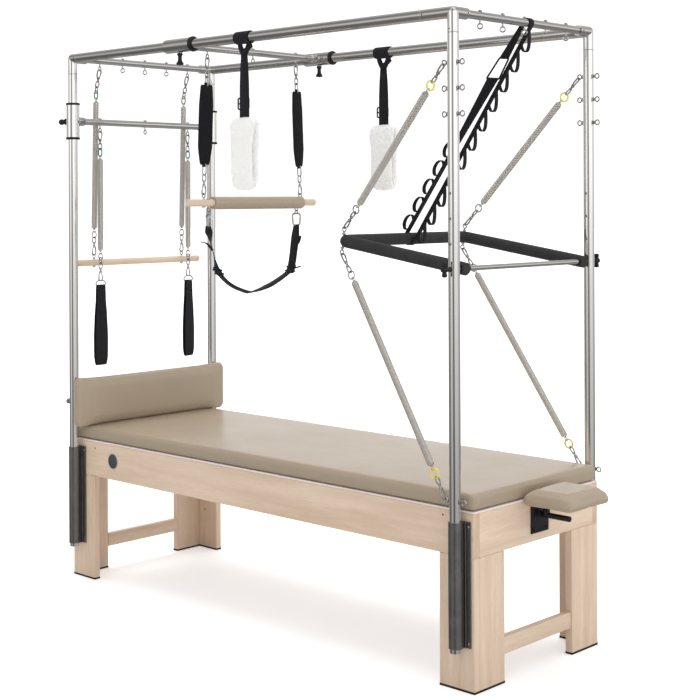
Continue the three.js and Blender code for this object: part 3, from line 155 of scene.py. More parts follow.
# Grain of a board: Place runs slowly along the grain and fast across it
def boardGrain():
    tree, given, made = newGroup(
        "boardGrain",
        {
            "Place": (vectorKind, None), "Pale": (colourKind, None), "Deep": (colourKind, None),
            "Pink": (colourKind, None),
        },
        {"Color": colourKind, "Height": floatKind, "Roughness": floatKind},
    )
    warp = node(tree, "ShaderNodeTexNoise", Vector=given["Place"], Scale=0.35, Detail=2.0)
    bent = node(
        tree, "ShaderNodeVectorMath", {"operation": "MULTIPLY_ADD"}, i0=warp.outputs["Color"], i1=(0.6, 0.6, 0.6),
        i2=given["Place"],
    ).outputs[0]
    bands = noiseOf(tree, bent, 0.9, 4.0, 0.6)
    fibres = noiseOf(tree, bent, 7.0, 3.0, 0.7)
    flecks = noiseOf(tree, given["Place"], 21.0, 1.0, 0.5)
    colour = mixColour(tree, spread(tree, bands, 0.0, 0.92, 0.36, 0.7), given["Pale"], given["Deep"])
    colour = mixColour(tree, spread(tree, fibres, 0.0, 0.5), colour, given["Deep"])
    colour = mixColour(tree, spread(tree, warp.outputs["Fac"], 0.0, 0.6, 0.35, 0.75), colour, given["Pink"])
    dark = mixColour(tree, 1.0, given["Deep"], (0.8, 0.72, 0.66, 1), "MULTIPLY")
    colour = mixColour(tree, spread(tree, flecks, 0.0, 0.5, 0.68, 0.8), colour, dark)
    tree.links.new(colour, made["Color"])
    tree.links.new(weighed(tree, fibres, 0.7, flecks, 0.3), made["Height"])
    tree.links.new(spread(tree, fibres, 0.42, 0.52), made["Roughness"])
    return tree


# Fine pebbling of coated cloth
def pebbleGrain():
    tree, given, made = newGroup(
        "pebbleGrain", {"Place": (vectorKind, None), "Scale": (floatKind, 900.0)},
        {"Height": floatKind, "Tone": floatKind},
    )
    cells = node(tree, "ShaderNodeTexVoronoi", Vector=given["Place"], Scale=given["Scale"]).outputs["Distance"]
    broad = noiseOf(tree, given["Place"], 9.0, 3.0)
    fine = noiseOf(tree, given["Place"], 260.0, 2.0)
    tree.links.new(weighed(tree, cells, 0.8, fine, 0.5), made["Height"])
    tree.links.new(weighed(tree, broad, 0.7, fine, 0.3), made["Tone"])
    return tree


# Crossing threads of webbing, on a map in metres
def threadWeave():
    tree, given, made = newGroup(
        "threadWeave", {"Place": (vectorKind, None), "Threads": (floatKind, 620.0)},
        {"Height": floatKind, "Tone": floatKind},
    )
    apart = node(tree, "ShaderNodeSeparateXYZ", i0=given["Place"]).outputs
    waves = []
    for axis, share in ((0, 0.5), (1, 1.0)):
        turned = times(tree, times(tree, apart[axis], given["Threads"]), 6.2832 * share)
        waves.append(calc(tree, "SINE", turned))
    crossed = times(tree, waves[0], waves[1])
    ribs = calc(tree, "ABSOLUTE", waves[1])
    tree.links.new(weighed(tree, crossed, 0.35, ribs, 0.5), made["Height"])
    tree.links.new(spread(tree, crossed, 0.0, 1.0, -1.0, 1.0), made["Tone"])
    return tree


# Smudges and rubbed places: a roughness between two limits, and a tone
def handling():
    tree, given, made = newGroup(
        "handling",
        {"Place": (vectorKind, None), "Scale": (floatKind, 12.0), "Low": (floatKind, 0.2), "High": (floatKind, 0.35)},
        {"Roughness": floatKind, "Tone": floatKind},
    )
    cloud = noiseOf(tree, given["Place"], given["Scale"], 4.0, 0.6)
    fine = noiseOf(tree, given["Place"], times(tree, given["Scale"], 17.0), 2.0)
    both = weighed(tree, cloud, 0.75, fine, 0.25)
    tree.links.new(spread(tree, both, given["Low"], given["High"], 0.35, 0.65), made["Roughness"])
    tree.links.new(spread(tree, both, 0.0, 1.0, 0.35, 0.65), made["Tone"])
    return tree


# Polishing lines: Place is stretched along the lines
def polishLines():
    tree, given, made = newGroup(
        "polishLines", {"Place": (vectorKind, None)}, {"Height": floatKind, "Tone": floatKind},
    )
    fine = noiseOf(tree, given["Place"], 6.0, 3.0, 0.7)
    broad = noiseOf(tree, given["Place"], 0.8, 2.0)
    tree.links.new(fine, made["Height"])
    tree.links.new(spread(tree, broad, 0.0, 1.0), made["Tone"])
    return tree


shaderGroups = {make.__name__: make() for make in (boardGrain, pebbleGrain, threadWeave, handling, polishLines)}


def useGroup(tree, name, **inputs):
    return node(tree, "ShaderNodeGroup", {"node_tree": shaderGroups[name]}, **inputs).outputs


finishes = {}


def newFinish(name, colour, roughness, metallic=0.0, **sockets):
    material = bpy.data.materials.new(name)
    material.use_nodes = True
    tree = material.node_tree
    shader = tree.nodes["Principled BSDF"]
    shader.inputs["Base Color"].default_value = (*colour, 1)
    shader.inputs["Roughness"].default_value = roughness
    shader.inputs["Metallic"].default_value = metallic
    for key, value in sockets.items():
        shader.inputs[key.replace("_", " ")].default_value = value
    material.diffuse_color = (*colour, 1)
    finishes[name] = material
    return tree, shader.inputs


def placeOn(tree, stretch=(1, 1, 1), mapped=False):
    coordinates = node(tree, "ShaderNodeTexCoord").outputs["UV" if mapped else "Object"]
    if tuple(stretch) == (1, 1, 1):
        return coordinates
    return node(tree, "ShaderNodeMapping", Vector=coordinates, Scale=stretch).outputs[0]


def bumpInto(tree, inputs, height, strength, distance):
    bump = node(tree, "ShaderNodeBump", Strength=strength, Distance=distance, Height=height)
    tree.links.new(bump.outputs[0], inputs["Normal"])


# Roughness between two limits, with the tone that goes with it
def handled(tree, inputs, scale, low, high):
    used = useGroup(tree, "handling", Place=placeOn(tree), Scale=scale, Low=low, High=high)
    tree.links.new(used["Roughness"], inputs["Roughness"])
    return used["Tone"]


def toned(tree, inputs, tone, colour, other):
    tree.links.new(mixColour(tree, tone, (*colour, 1), (*other, 1)), inputs["Base Color"])


boards = {
    "pale": (0.85, 0.7, 0.535), "deep": (0.65, 0.465, 0.325), "pink": (0.78, 0.595, 0.465),
    "stretches": {
        "woodLong": (2.2, 26, 26), "woodAcross": (26, 2.2, 26), "woodUp": (26, 26, 2.2), "woodEnd": (5, 34, 12),
        "woodEdge": (3, 3, 90),
    },
    "shades": {"woodEnd": (0.88, 0.83, 0.8), "woodEdge": (1.1, 1.26, 1.6)},
}


def makeWood(name):
    shade = boards["shades"].get(name, (1, 1, 1))
    pale, deep, pink = ([c * s for c, s in zip(boards[key], shade)] for key in ("pale", "deep", "pink"))
    tree, inputs = newFinish(name, pale, 0.45, Coat_Weight=0.18, Coat_Roughness=0.3)
    grain = useGroup(
        tree, "boardGrain", Place=placeOn(tree, boards["stretches"][name]),
        Pale=(*pale, 1), Deep=(*deep, 1), Pink=(*pink, 1),
    )
    tree.links.new(grain["Color"], inputs["Base Color"])
    tree.links.new(grain["Roughness"], inputs["Roughness"])
    bumpInto(tree, inputs, grain["Height"], 0.12, 0.0004)


def makeMetal(name, colour, low, high, axis=None, darker=0.86):
    tree, inputs = newFinish(name, colour, (low + high) / 2, 1.0)
    handled(tree, inputs, 9.0, low, high)
    stretch = [160.0] * 3
    if axis is not None:
        stretch[axis] = 5.0
    lines = useGroup(tree, "polishLines", Place=placeOn(tree, stretch))
    toned(tree, inputs, lines["Tone"], colour, [c * darker for c in colour])
    bumpInto(tree, inputs, lines["Height"], 0.02, 0.0001)


def makeVinyl(name, colour):
    tree, inputs = newFinish(name, colour, 0.4, Coat_Weight=0.55, Coat_Roughness=0.24, Coat_IOR=1.45)
    grain = useGroup(tree, "pebbleGrain", Place=placeOn(tree), Scale=900.0)
    handled(tree, inputs, 5.0, 0.36, 0.46)
    toned(tree, inputs, grain["Tone"], [c * 1.04 for c in colour], [c * 0.94 for c in colour])
    bumpInto(tree, inputs, grain["Height"], 0.1, 0.0002)


def makeMoulded(name, colour, low, high, bump=0.1, metallic=0.0):
    tree, inputs = newFinish(name, colour, (low + high) / 2, metallic, Specular_IOR_Level=0.32)
    grain = useGroup(tree, "pebbleGrain", Place=placeOn(tree), Scale=1500.0)
    tone = handled(tree, inputs, 22.0, low, high)
    toned(tree, inputs, tone, colour, [c * 1.3 + 0.004 for c in colour])
    bumpInto(tree, inputs, grain["Height"], bump, 0.0002)


def makeWebbing(name, colour, threads=620.0):
    tree, inputs = newFinish(name, colour, 0.82, Sheen_Weight=0.06, Sheen_Roughness=0.4, Specular_IOR_Level=0.25)
    weave = useGroup(tree, "threadWeave", Place=placeOn(tree, mapped=True), Threads=threads)
    handled(tree, inputs, 30.0, 0.72, 0.9)
    toned(tree, inputs, weave["Tone"], [c * 0.75 for c in colour], [c * 1.3 for c in colour])
    bumpInto(tree, inputs, weave["Height"], 0.5, 0.0006)


def makeFleece():
    tree, inputs = newFinish(
        "fleece", (0.98, 0.975, 0.95), 0.95, Sheen_Weight=0.9, Sheen_Roughness=0.7, Subsurface_Weight=0.1,
        Subsurface_Scale=0.004,
    )
    curls = noiseOf(tree, placeOn(tree), 170.0, 4.0, 0.65)
    toned(tree, inputs, spread(tree, curls, 0.0, 1.0), (0.975, 0.965, 0.93), (1.0, 1.0, 0.985))
    bumpInto(tree, inputs, curls, 0.7, 0.003)


for name in boards["stretches"]:
    makeWood(name)
for name, axis in (("steelLong", 0), ("steelAcross", 1), ("steelUp", 2)):
    makeMetal(name, (0.76, 0.745, 0.72), 0.1, 0.15, axis, 0.96)
makeMetal("steelSmall", (0.56, 0.55, 0.535), 0.16, 0.26)
makeMetal("springWire", (0.96, 0.92, 0.86), 0.4, 0.5)
makeVinyl("vinylPale", (0.4, 0.317, 0.228))
# The second vinyl is the same vinyl as vinylPale, made a little lighter for the cushion, trapeze pad and welts:
# painted light that makes up for the light those faces get
makeVinyl("vinylDeep", (0.42, 0.335, 0.243))
makeMoulded("extrusion", (0.15, 0.146, 0.143), 0.3, 0.4, 0.1, 0.8)
makeMoulded("blackPlastic", (0.009, 0.009, 0.01), 0.3, 0.42)
makeMoulded("rubber", (0.012, 0.012, 0.012), 0.7, 0.85, 0.3)
makeMoulded("foam", (0.026, 0.025, 0.027), 0.55, 0.75, 0.45)
makeMoulded("discMetal", (0.05, 0.056, 0.06), 0.3, 0.45)
makeMoulded("greenCoat", (0.02, 0.2, 0.09), 0.28, 0.4)
makeMoulded("yellowCoat", (0.78, 0.66, 0.07), 0.28, 0.4)
makeWebbing("webbing", (0.013, 0.013, 0.016))
makeMoulded("capMetal", (0.24, 0.225, 0.19), 0.3, 0.42, 0.1, 0.6)
makeWebbing("paddedCloth", (0.009, 0.009, 0.011), 900.0)
makeMoulded("thread", (0.03, 0.03, 0.034), 0.6, 0.8)
makeMoulded("vinylThread", (0.3, 0.25, 0.19), 0.6, 0.8)
makeFleece()
print(len(finishes), "finishes")


# Floor and light
studio = {
    "floor": 0.84, "floorGlow": 0.4, "ambient": 0.62, "upward": 0.34, "rightward": 0.34, "backward": 0.14,
    "backdrop": 1.15, "sun": 1.75, "sunWay": (0.32, -0.1, -1.0), "sunSpread": 50,
    "heights": (
        (0.0, 0.5), (0.18, 0.34), (0.33, 0.24), (0.4, 0.32), (0.475, 0.62), (0.52, 1.0), (0.63, 1.0), (0.72, 0.55),
        (0.85, 0.45), (1.0, 0.9),
    ),
    "panels": (
        (0.0, 0.7), (0.05, 0.45), (0.1, 0.5), (0.15, 0.75), (0.19, 1.5), (0.25, 1.4), (0.29, 0.34), (0.345, 0.34),
        (0.385, 1.5), (0.53, 1.55), (0.6, 1.0), (0.66, 0.75), (0.78, 1.0), (0.9, 1.0),
    ),
}


def setStudio():
    world = bpy.data.worlds.new("studio")
    world.use_nodes = True
    tree = world.node_tree
    tree.nodes.clear()
    way = node(tree, "ShaderNodeTexCoord").outputs["Generated"]
    apart = node(tree, "ShaderNodeSeparateXYZ", i0=way).outputs
    turn = calc(tree, "ARCTAN2", apart[1], apart[0])
    ramps = []
    for value, low, high, points in (
        (apart[2], -1.0, 1.0, studio["heights"]), (turn, -math.pi, math.pi, studio["panels"]),
    ):
        ramp = node(tree, "ShaderNodeValToRGB", Fac=spread(tree, value, 0.0, 1.0, low, high))
        elements = ramp.color_ramp.elements
        while len(elements) > 1:
            elements.remove(elements[-1])
        elements[0].position, elements[0].color = points[0][0], (points[0][1],) * 3 + (1,)
        for position, shade in points[1:]:
            elements.new(position).color = (shade,) * 3 + (1,)
        ramps.append(ramp.outputs[0])
    glossy = mixColour(tree, 1.0, ramps[0], ramps[1], "MULTIPLY")
    path = node(tree, "ShaderNodeLightPath").outputs
    ambient = studio["ambient"]
    for axis, key in ((0, "rightward"), (1, "backward"), (2, "upward")):
        ambient = plus(tree, times(tree, apart[axis], studio[key]), ambient)
    seen = mixColour(tree, path["Is Glossy Ray"], ambient, glossy)
    seen = mixColour(tree, path["Is Camera Ray"], seen, (studio["backdrop"],) * 3 + (1,))
    background = node(tree, "ShaderNodeBackground", Color=seen, Strength=1.0)
    leave = tree.nodes.new("ShaderNodeOutputWorld")
    tree.links.new(background.outputs[0], leave.inputs[0])
    scene.world = world
    lamp = bpy.data.lights.new("softSun", "SUN")
    lamp.energy, lamp.angle = studio["sun"], math.radians(studio["sunSpread"])
    lampObject = bpy.data.objects.new("softSun", lamp)
    scene.collection.objects.link(lampObject)
    lampObject.matrix_world = Vector(studio["sunWay"]).to_track_quat("-Z", "Y").to_matrix().to_4x4()
    lampObject.visible_glossy = False
    tree, inputs = newFinish("floorPaint", (studio["floor"],) * 3, 0.8)
    handled(tree, inputs, 1.5, 0.75, 0.85)
    inputs["Emission Color"].default_value = (1, 1, 1, 1)
    seenByCamera = node(tree, "ShaderNodeLightPath").outputs["Is Camera Ray"]
    tree.links.new(times(tree, seenByCamera, studio["floorGlow"]), inputs["Emission Strength"])
    mesh = bpy.data.meshes.new("floor")
    reach, drop = 60, -0.0004
    mesh.from_pydata(
        [(x * reach, y * reach, drop) for x, y in ((-1, -1), (1, -1), (1, 1), (-1, 1))], [], [(0, 1, 2, 3)],
    )
    mesh.materials.append(finishes["floorPaint"])
    floor = bpy.data.objects.new("floor", mesh)
    scene.collection.objects.link(floor)
    floor.visible_glossy = False
    scene.view_settings.view_transform = "Standard"
    scene.view_settings.look = "None"
    scene.view_settings.exposure = 0.0


setStudio()
print("studio set")


# Shapes: a part is a list of points, a list of faces and, where it has one, a map
class Shape:
    def __init__(self):
        self.points, self.faces, self.looks, self.maps = [], [], [], []

    def add(self, part, look):
        start = len(self.points)
        self.points += part[0]
        self.faces += [[start + i for i in face] for face in part[1]]
        self.looks += look if isinstance(look, list) else [look] * len(part[1])
        self.maps += part[2] if len(part) > 2 else [[(0, 0)] * len(face) for face in part[1]]
        return self

    def grow(self, tree, values, matrix=Matrix.Identity(4)):
        made = grownMesh(tree, values)
        names = [material.name if material else "steelSmall" for material in made.materials]
        start = len(self.points)
        self.points += [matrix @ vertex.co for vertex in made.vertices]
        for face in made.polygons:
            self.faces.append([start + i for i in face.vertices])
            self.looks.append(names[face.material_index])
            self.maps.append([(0, 0)] * len(face.vertices))
        bpy.data.meshes.remove(made)
        return self


def circleSection(radius, count):
    turns = [2 * math.pi * (i + 0.5) / count for i in range(count)]
    return [(radius * math.cos(t), radius * math.sin(t)) for t in turns]


def bandSection(width, thickness, steps=3):
    half, bend = width / 2 - thickness / 2, thickness / 2
    points = []
    for sign, start in ((1, -math.pi / 2), (-1, math.pi / 2)):
        for i in range(steps + 1):
            turn = start + math.pi * i / steps
            points.append((sign * half + bend * math.cos(turn), bend * math.sin(turn)))
    return points


def padSection(width, thickness, count=28, power=3.2):
    points = []
    for i in range(count):
        turn = 2 * math.pi * i / count
        c, s = math.cos(turn), math.sin(turn)
        a = math.copysign(abs(c) ** (2 / power), c) * width / 2
        points.append((a, math.copysign(abs(s) ** (2 / power), s) * thickness / 2))
    return points


# A section carried along a path; across is the direction of its width
def sweep(path, section, across=None, closed=False, scales=None):
    count, around = len(path), len(section)
    points, travelled, walked = [], [], 0.0
    side = across
    for i, point in enumerate(path):
        back = path[i - 1] if closed or i else point
        ahead = path[(i + 1) % count] if closed or i < count - 1 else point
        tangent = (ahead - back).normalized()
        if across is not None:
            rough = across[i] if isinstance(across, list) else across
        else:
            rough = side or (axisZ if abs(tangent.z) < 0.7 else axisX)
        side = (rough - tangent * rough.dot(tangent)).normalized()
        other = tangent.cross(side)
        wide, thick = scales[i] if scales else (1, 1)
        points += [point + side * a * wide + other * b * thick for a, b in section]
        travelled.append(walked)
        walked += (path[(i + 1) % count] - point).length
    travelled.append(walked)
    girth = [0.0]
    for k in range(around):
        (a, b), (c, d) = section[k], section[(k + 1) % around]
        girth.append(girth[-1] + math.hypot(c - a, d - b))
    faces, maps = [], []
    for i in range(count if closed else count - 1):
        near, far = i * around, ((i + 1) % count) * around
        for k in range(around):
            nextK = (k + 1) % around
            faces.append([near + k, near + nextK, far + nextK, far + k])
            u, v = travelled[i] / 1000, travelled[i + 1] / 1000
            low, high = girth[k] / 1000, girth[k + 1] / 1000
            maps.append([(u, low), (u, high), (v, high), (v, low)])
    if not closed:
        for cap, start in ((list(range(around)), 0), ([(count - 1) * around + k for k in range(around)], count)):
            faces.append(cap)
            middle = travelled[min(start, count - 1)] / 1000
            maps.append([(middle + section[k][1] / 1000, girth[k] / 1000) for k in range(around)])
    return points, faces, maps


def wire(path, radius, count=10, closed=False, across=None):
    return sweep(path, circleSection(radius, count), across, closed)


# A profile of (reach, radius) turned about a line; closed for a wall with a bore
def turned(origin, along, profile, count=40, closed=False):
    along = along.normalized()
    side = (axisZ if abs(along.z) < 0.7 else axisX).cross(along).normalized()
    other = along.cross(side)
    points, rings = [], []
    for reach, radius in profile:
        spot = origin + along * reach
        if radius < 1e-6:
            rings.append([len(points)] * count)
            points.append(spot)
            continue
        rings.append([len(points) + k for k in range(count)])
        for k in range(count):
            turn = 2 * math.pi * k / count
            points.append(spot + side * radius * math.cos(turn) + other * radius * math.sin(turn))
    faces = []
    for i in range(len(rings) if closed else len(rings) - 1):
        near, far = rings[i], rings[(i + 1) % len(rings)]
        for k in range(count):
            n = (k + 1) % count
            face = [near[k], near[n], far[n], far[k]]
            unique = [face[j] for j in range(4) if face[j] not in face[:j]]
            if len(unique) > 2:
                faces.append(unique)
    return points, faces


# The value at a share along a list of (share, value) pairs
def valueAt(pairs, share):
    for (a, low), (b, high) in zip(pairs, pairs[1:]):
        if share <= b:
            return low + (high - low) * max(share - a, 0) / (b - a)
    return pairs[-1][1]


# Corners of a flat line softened by small arcs
def softened(line, radius, steps=3, closed=True):
    out = []
    count = len(line)
    for i, point in enumerate(line):
        if not closed and i in (0, count - 1):
            out.append(point)
            continue
        p, a, b = Vector(point), Vector(line[i - 1]), Vector(line[(i + 1) % count])
        reach = min(radius, 0.45 * (a - p).length, 0.45 * (b - p).length)
        start, stop = p + (a - p).normalized() * reach, p + (b - p).normalized() * reach
        for k in range(steps + 1):
            t = k / steps
            out.append(start * (1 - t) ** 2 + p * 2 * t * (1 - t) + stop * t * t)
    return out


def smoothLine(points, steps, closed=False):
    out = []
    count = len(points)
    for i in range(count if closed else count - 1):
        if closed:
            a, b, c, d = (points[(i + k) % count] for k in (-1, 0, 1, 2))
        else:
            b, c = points[i], points[i + 1]
            a = points[i - 1] if i else b * 2 - c
            d = points[i + 2] if i + 2 < count else c * 2 - b
        for k in range(steps):
            t = k / steps
            out.append(
                (b * 2 + (c - a) * t + (a * 2 - b * 5 + c * 4 - d) * t * t + (b * 3 - a - c * 3 + d) * t ** 3) / 2
            )
    if not closed:
        out.append(points[-1])
    return out


def tube(start, stop, outer, inner, edge=0.8, count=48):
    length = (stop - start).length
    profile = [
        (0, inner), (0, outer - edge), (edge * 0.3, outer - edge * 0.3), (edge, outer), (edge + 0.4, outer),
        (length - edge - 0.4, outer), (length - edge, outer), (length - edge * 0.3, outer - edge * 0.3),
        (length, outer - edge), (length, inner),
    ]
    return turned(start, stop - start, profile, count, inner > 0)


def bar(start, stop, radius, edge=0.8, count=32):
    return tube(start, stop, radius, 0, edge, count)


# A flat outline with softened rims pulled out to both sides
def plate(outline, centre, u, v, depth, rim=0.6):
    normal = u.cross(v)
    count = len(outline)
    area = sum(p[0] * q[1] - q[0] * p[1] for p, q in zip(outline, outline[1:] + outline[:1]))
    inward = 1 if area > 0 else -1

    def ring(level, inset):
        out = []
        for i, point in enumerate(outline):
            p, a, b = Vector(point[:2]), Vector(outline[i - 1][:2]), Vector(outline[(i + 1) % count][:2])
            first, second = (p - a).normalized(), (b - p).normalized()
            way = Vector((-(first.y + second.y), first.x + second.x))
            if way.length > 1e-6:
                way.normalize()
                p = p + way * inset * inward
            out.append(centre + u * p.x + v * p.y + normal * level)
        return out

    half = depth / 2
    lower = [(-half, rim), (-half + rim * 0.3, rim * 0.3), (-half + rim, 0), (-half + rim * 1.3, 0)]
    levels = lower + [(-level, inset) for level, inset in reversed(lower)]
    points, faces = [], []
    for level, inset in levels:
        points += ring(level, inset)
    for i in range(len(levels) - 1):
        for k in range(count):
            n = (k + 1) % count
            faces.append([i * count + k, i * count + n, (i + 1) * count + n, (i + 1) * count + k])
    faces.append(list(range(count)))
    faces.append([(len(levels) - 1) * count + k for k in range(count)])
    return points, faces


def boardPart(low, high, rim=2.5):
    size, centre = high - low, (high + low) / 2
    made = bmesh.new()
    bmesh.ops.create_cube(made, size=1, matrix=Matrix.Translation(centre) @ Matrix.Diagonal((*size, 1)))
    bmesh.ops.bevel(made, geom=made.edges[:], offset=rim, segments=3, profile=0.5, affect="EDGES")
    made.verts.index_update()
    part = ([v.co.copy() for v in made.verts], [[v.index for v in face.verts] for face in made.faces])
    made.free()
    return part


# A board's looks: its grain, and end grain on the faces across an axis
def boardLooks(part, look, axis):
    looks = []
    for face in part[1]:
        a, b, c = (part[0][face[k]] for k in (0, 1, 2))
        normal = (b - a).cross(c - b).normalized()
        looks.append("woodEnd" if abs(normal[axis]) > 0.9 else look)
    return looks


def facedOut(mesh):
    made = bmesh.new()
    made.from_mesh(mesh)
    bmesh.ops.recalc_face_normals(made, faces=made.faces[:])
    made.to_mesh(mesh)
    made.free()


def finalMesh(thing):
    return bpy.data.meshes.new_from_object(thing.evaluated_get(bpy.context.evaluated_depsgraph_get()))


def linked(name, mesh):
    thing = bpy.data.objects.new(name, mesh)
    scene.collection.objects.link(thing)
    return thing


def grownMesh(tree, values):
    holder = linked("grown", bpy.data.meshes.new("grown"))
    modifier = holder.modifiers.new("grow", "NODES")
    modifier.node_group = tree
    for item in tree.interface.items_tree:
        if item.item_type == "SOCKET" and item.in_out == "INPUT" and item.name in values:
            modifier[item.identifier] = values[item.name]
    bpy.context.view_layer.update()
    made = finalMesh(holder)
    holder.modifiers.remove(modifier)
    bpy.data.objects.remove(holder)
    return made


# A point of the table in the frame's metres
def inMetres(p):
    return (p.x - originShift) / 1000, p.y / 1000, p.z / 1000


def placePiece(name, shape, body, nodes=(), crease=40, bend=None, flatOver=None):
    mesh = bpy.data.meshes.new(name)
    mesh.from_pydata([inMetres(p) for p in shape.points], [], shape.faces)
    looks = sorted(set(shape.looks), key=shape.looks.index)
    for look in looks:
        mesh.materials.append(finishes[look])
    mesh.polygons.foreach_set("material_index", [looks.index(look) for look in shape.looks])
    layer = mesh.uv_layers.new(name="map")
    layer.data.foreach_set("uv", [c for face in shape.maps for corner in face for c in corner])
    facedOut(mesh)
    mesh.shade_smooth()
    mesh.set_sharp_from_angle(angle=math.radians(crease))
    if flatOver:
        mesh.polygons.foreach_set("use_smooth", [face.area < flatOver * 1e-6 for face in mesh.polygons])
    return settle(linked(name, mesh), body, nodes, bend)


def settle(piece, body, nodes=(), bend=None):
    if bend:
        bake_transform(piece)
    else:
        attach(piece, body)
    if nodes:
        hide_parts(*nodes)
    return piece


# Geometry Nodes trees for what repeats
def newTree(name, inputs):
    return newGroup(name, inputs, {"Geometry": "NodeSocketGeometry"}, "GeometryNodeTree")


def geo(tree, kind, **inputs):
    return node(tree, "GeometryNode" + kind, **inputs).outputs[0]


intKind, materialKind = "NodeSocketInt", "NodeSocketMaterial"


def joined(tree, parts):
    made = tree.nodes.new("GeometryNodeJoinGeometry")
    for part in parts:
        tree.links.new(part, made.inputs[0])
    return made.outputs[0]


def lifted(tree, z):
    return node(tree, "ShaderNodeCombineXYZ", Z=z).outputs[0]


def moved(tree, geometry, translation=(0, 0, 0), rotation=(0, 0, 0), scale=(1, 1, 1)):
    return geo(tree, "Transform", Geometry=geometry, Translation=translation, Rotation=rotation, Scale=scale)


def coated(tree, geometry, material):
    real = geo(tree, "RealizeInstances", Geometry=geometry)
    return geo(tree, "SetMaterial", Geometry=real, Material=material)


def inRow(tree, geometry, count, step):
    line = node(tree, "GeometryNodeMeshLine", {"mode": "OFFSET", "count_mode": "TOTAL"}, Count=count, Offset=step)
    return geo(tree, "InstanceOnPoints", Points=line.outputs[0], Instance=geometry)


# A closed coil spring with cone ends and a loop at each end, its barrel rising from the origin
def springTree():
    tree, given, made = newTree("closedSpring", {
        "Turns": (intKind, 120), "Coil Radius": (floatKind, 9.0), "Wire Radius": (floatKind, 1.5),
        "Barrel": (floatKind, 400.0), "Cone": (floatKind, 8.0), "Neck": (floatKind, 2.0),
        "Loop Radius": (floatKind, 6.0), "Finish": (materialKind, None),
    })
    stepsPerTurn, coneTurns, section, loopSteps = 12, 2.0, 6, 20
    coil = geo(
        tree, "CurveSpiral", Resolution=stepsPerTurn, Rotations=given["Turns"], Start_Radius=given["Coil Radius"],
        End_Radius=given["Coil Radius"], Height=given["Barrel"],
    )
    cone = geo(
        tree, "CurveSpiral", Resolution=stepsPerTurn, Rotations=coneTurns, Start_Radius=given["Coil Radius"],
        End_Radius=given["Neck"], Height=given["Cone"],
    )
    loop = moved(
        tree, geo(tree, "CurvePrimitiveCircle", Resolution=loopSteps, Radius=given["Loop Radius"]),
        rotation=(math.pi / 2, 0, 0),
    )
    loopRise = plus(tree, given["Cone"], given["Loop Radius"])
    upper = moved(
        tree, joined(tree, [cone, moved(tree, loop, lifted(tree, loopRise))]), lifted(tree, given["Barrel"]),
    )
    lower = moved(tree, joined(tree, [cone, moved(tree, loop, lifted(tree, loopRise))]), rotation=(math.pi, 0, 0))
    ring = geo(tree, "CurvePrimitiveCircle", Resolution=section, Radius=given["Wire Radius"])
    skin = geo(tree, "CurveToMesh", Curve=joined(tree, [coil, upper, lower]), Profile_Curve=ring, Fill_Caps=True)
    tree.links.new(coated(tree, skin, given["Finish"]), made[0])
    return tree


# Eyebolts in a row: the eye at the origin, its shank up through a bar to washer and nut
def eyeboltTree():
    tree, given, made = newTree("eyeboltRow", {
        "Count": (intKind, 1), "Step": (vectorKind, (0, 120, 0)), "Eye Radius": (floatKind, 8.4),
        "Wire Radius": (floatKind, 2.35),
        "Shank Radius": (floatKind, 3.0), "Shank Length": (floatKind, 40.0), "Nut Start": (floatKind, 48.0),
        "Nut Height": (floatKind, 5.0), "Nut Radius": (floatKind, 6.5), "Finish": (materialKind, None),
    })
    eye = geo(tree, "CurvePrimitiveCircle", Resolution=22, Radius=given["Eye Radius"])
    ring = geo(tree, "CurvePrimitiveCircle", Resolution=8, Radius=given["Wire Radius"])
    eye = geo(tree, "CurveToMesh", Curve=moved(tree, eye, rotation=(math.pi / 2, 0, 0)), Profile_Curve=ring)
    parts = [eye]
    shankReach = calc(tree, "SUBTRACT", given["Shank Length"], given["Eye Radius"])
    shankMiddle = calc(tree, "DIVIDE", plus(tree, given["Shank Length"], given["Eye Radius"]), 2.0)
    shank = geo(tree, "MeshCylinder", Vertices=12, Radius=given["Shank Radius"], Depth=shankReach)
    parts.append(moved(tree, shank, lifted(tree, shankMiddle)))
    collar = geo(tree, "MeshCylinder", Vertices=14, Radius=times(tree, given["Shank Radius"], 1.45), Depth=2.4)
    parts.append(moved(tree, collar, lifted(tree, plus(tree, given["Eye Radius"], 2.2))))
    nut = geo(tree, "MeshCylinder", Vertices=6, Radius=given["Nut Radius"], Depth=given["Nut Height"])
    nutMiddle = plus(tree, given["Nut Start"], calc(tree, "DIVIDE", given["Nut Height"], 2.0))
    parts.append(moved(tree, nut, lifted(tree, nutMiddle)))
    washer = geo(tree, "MeshCylinder", Vertices=20, Radius=times(tree, given["Nut Radius"], 1.12), Depth=1.0)
    parts.append(moved(tree, washer, lifted(tree, plus(tree, given["Nut Start"], 0.6))))
    tree.links.new(
        coated(tree, inRow(tree, joined(tree, parts), given["Count"], given["Step"]), given["Finish"]), made[0],
    )
    return tree
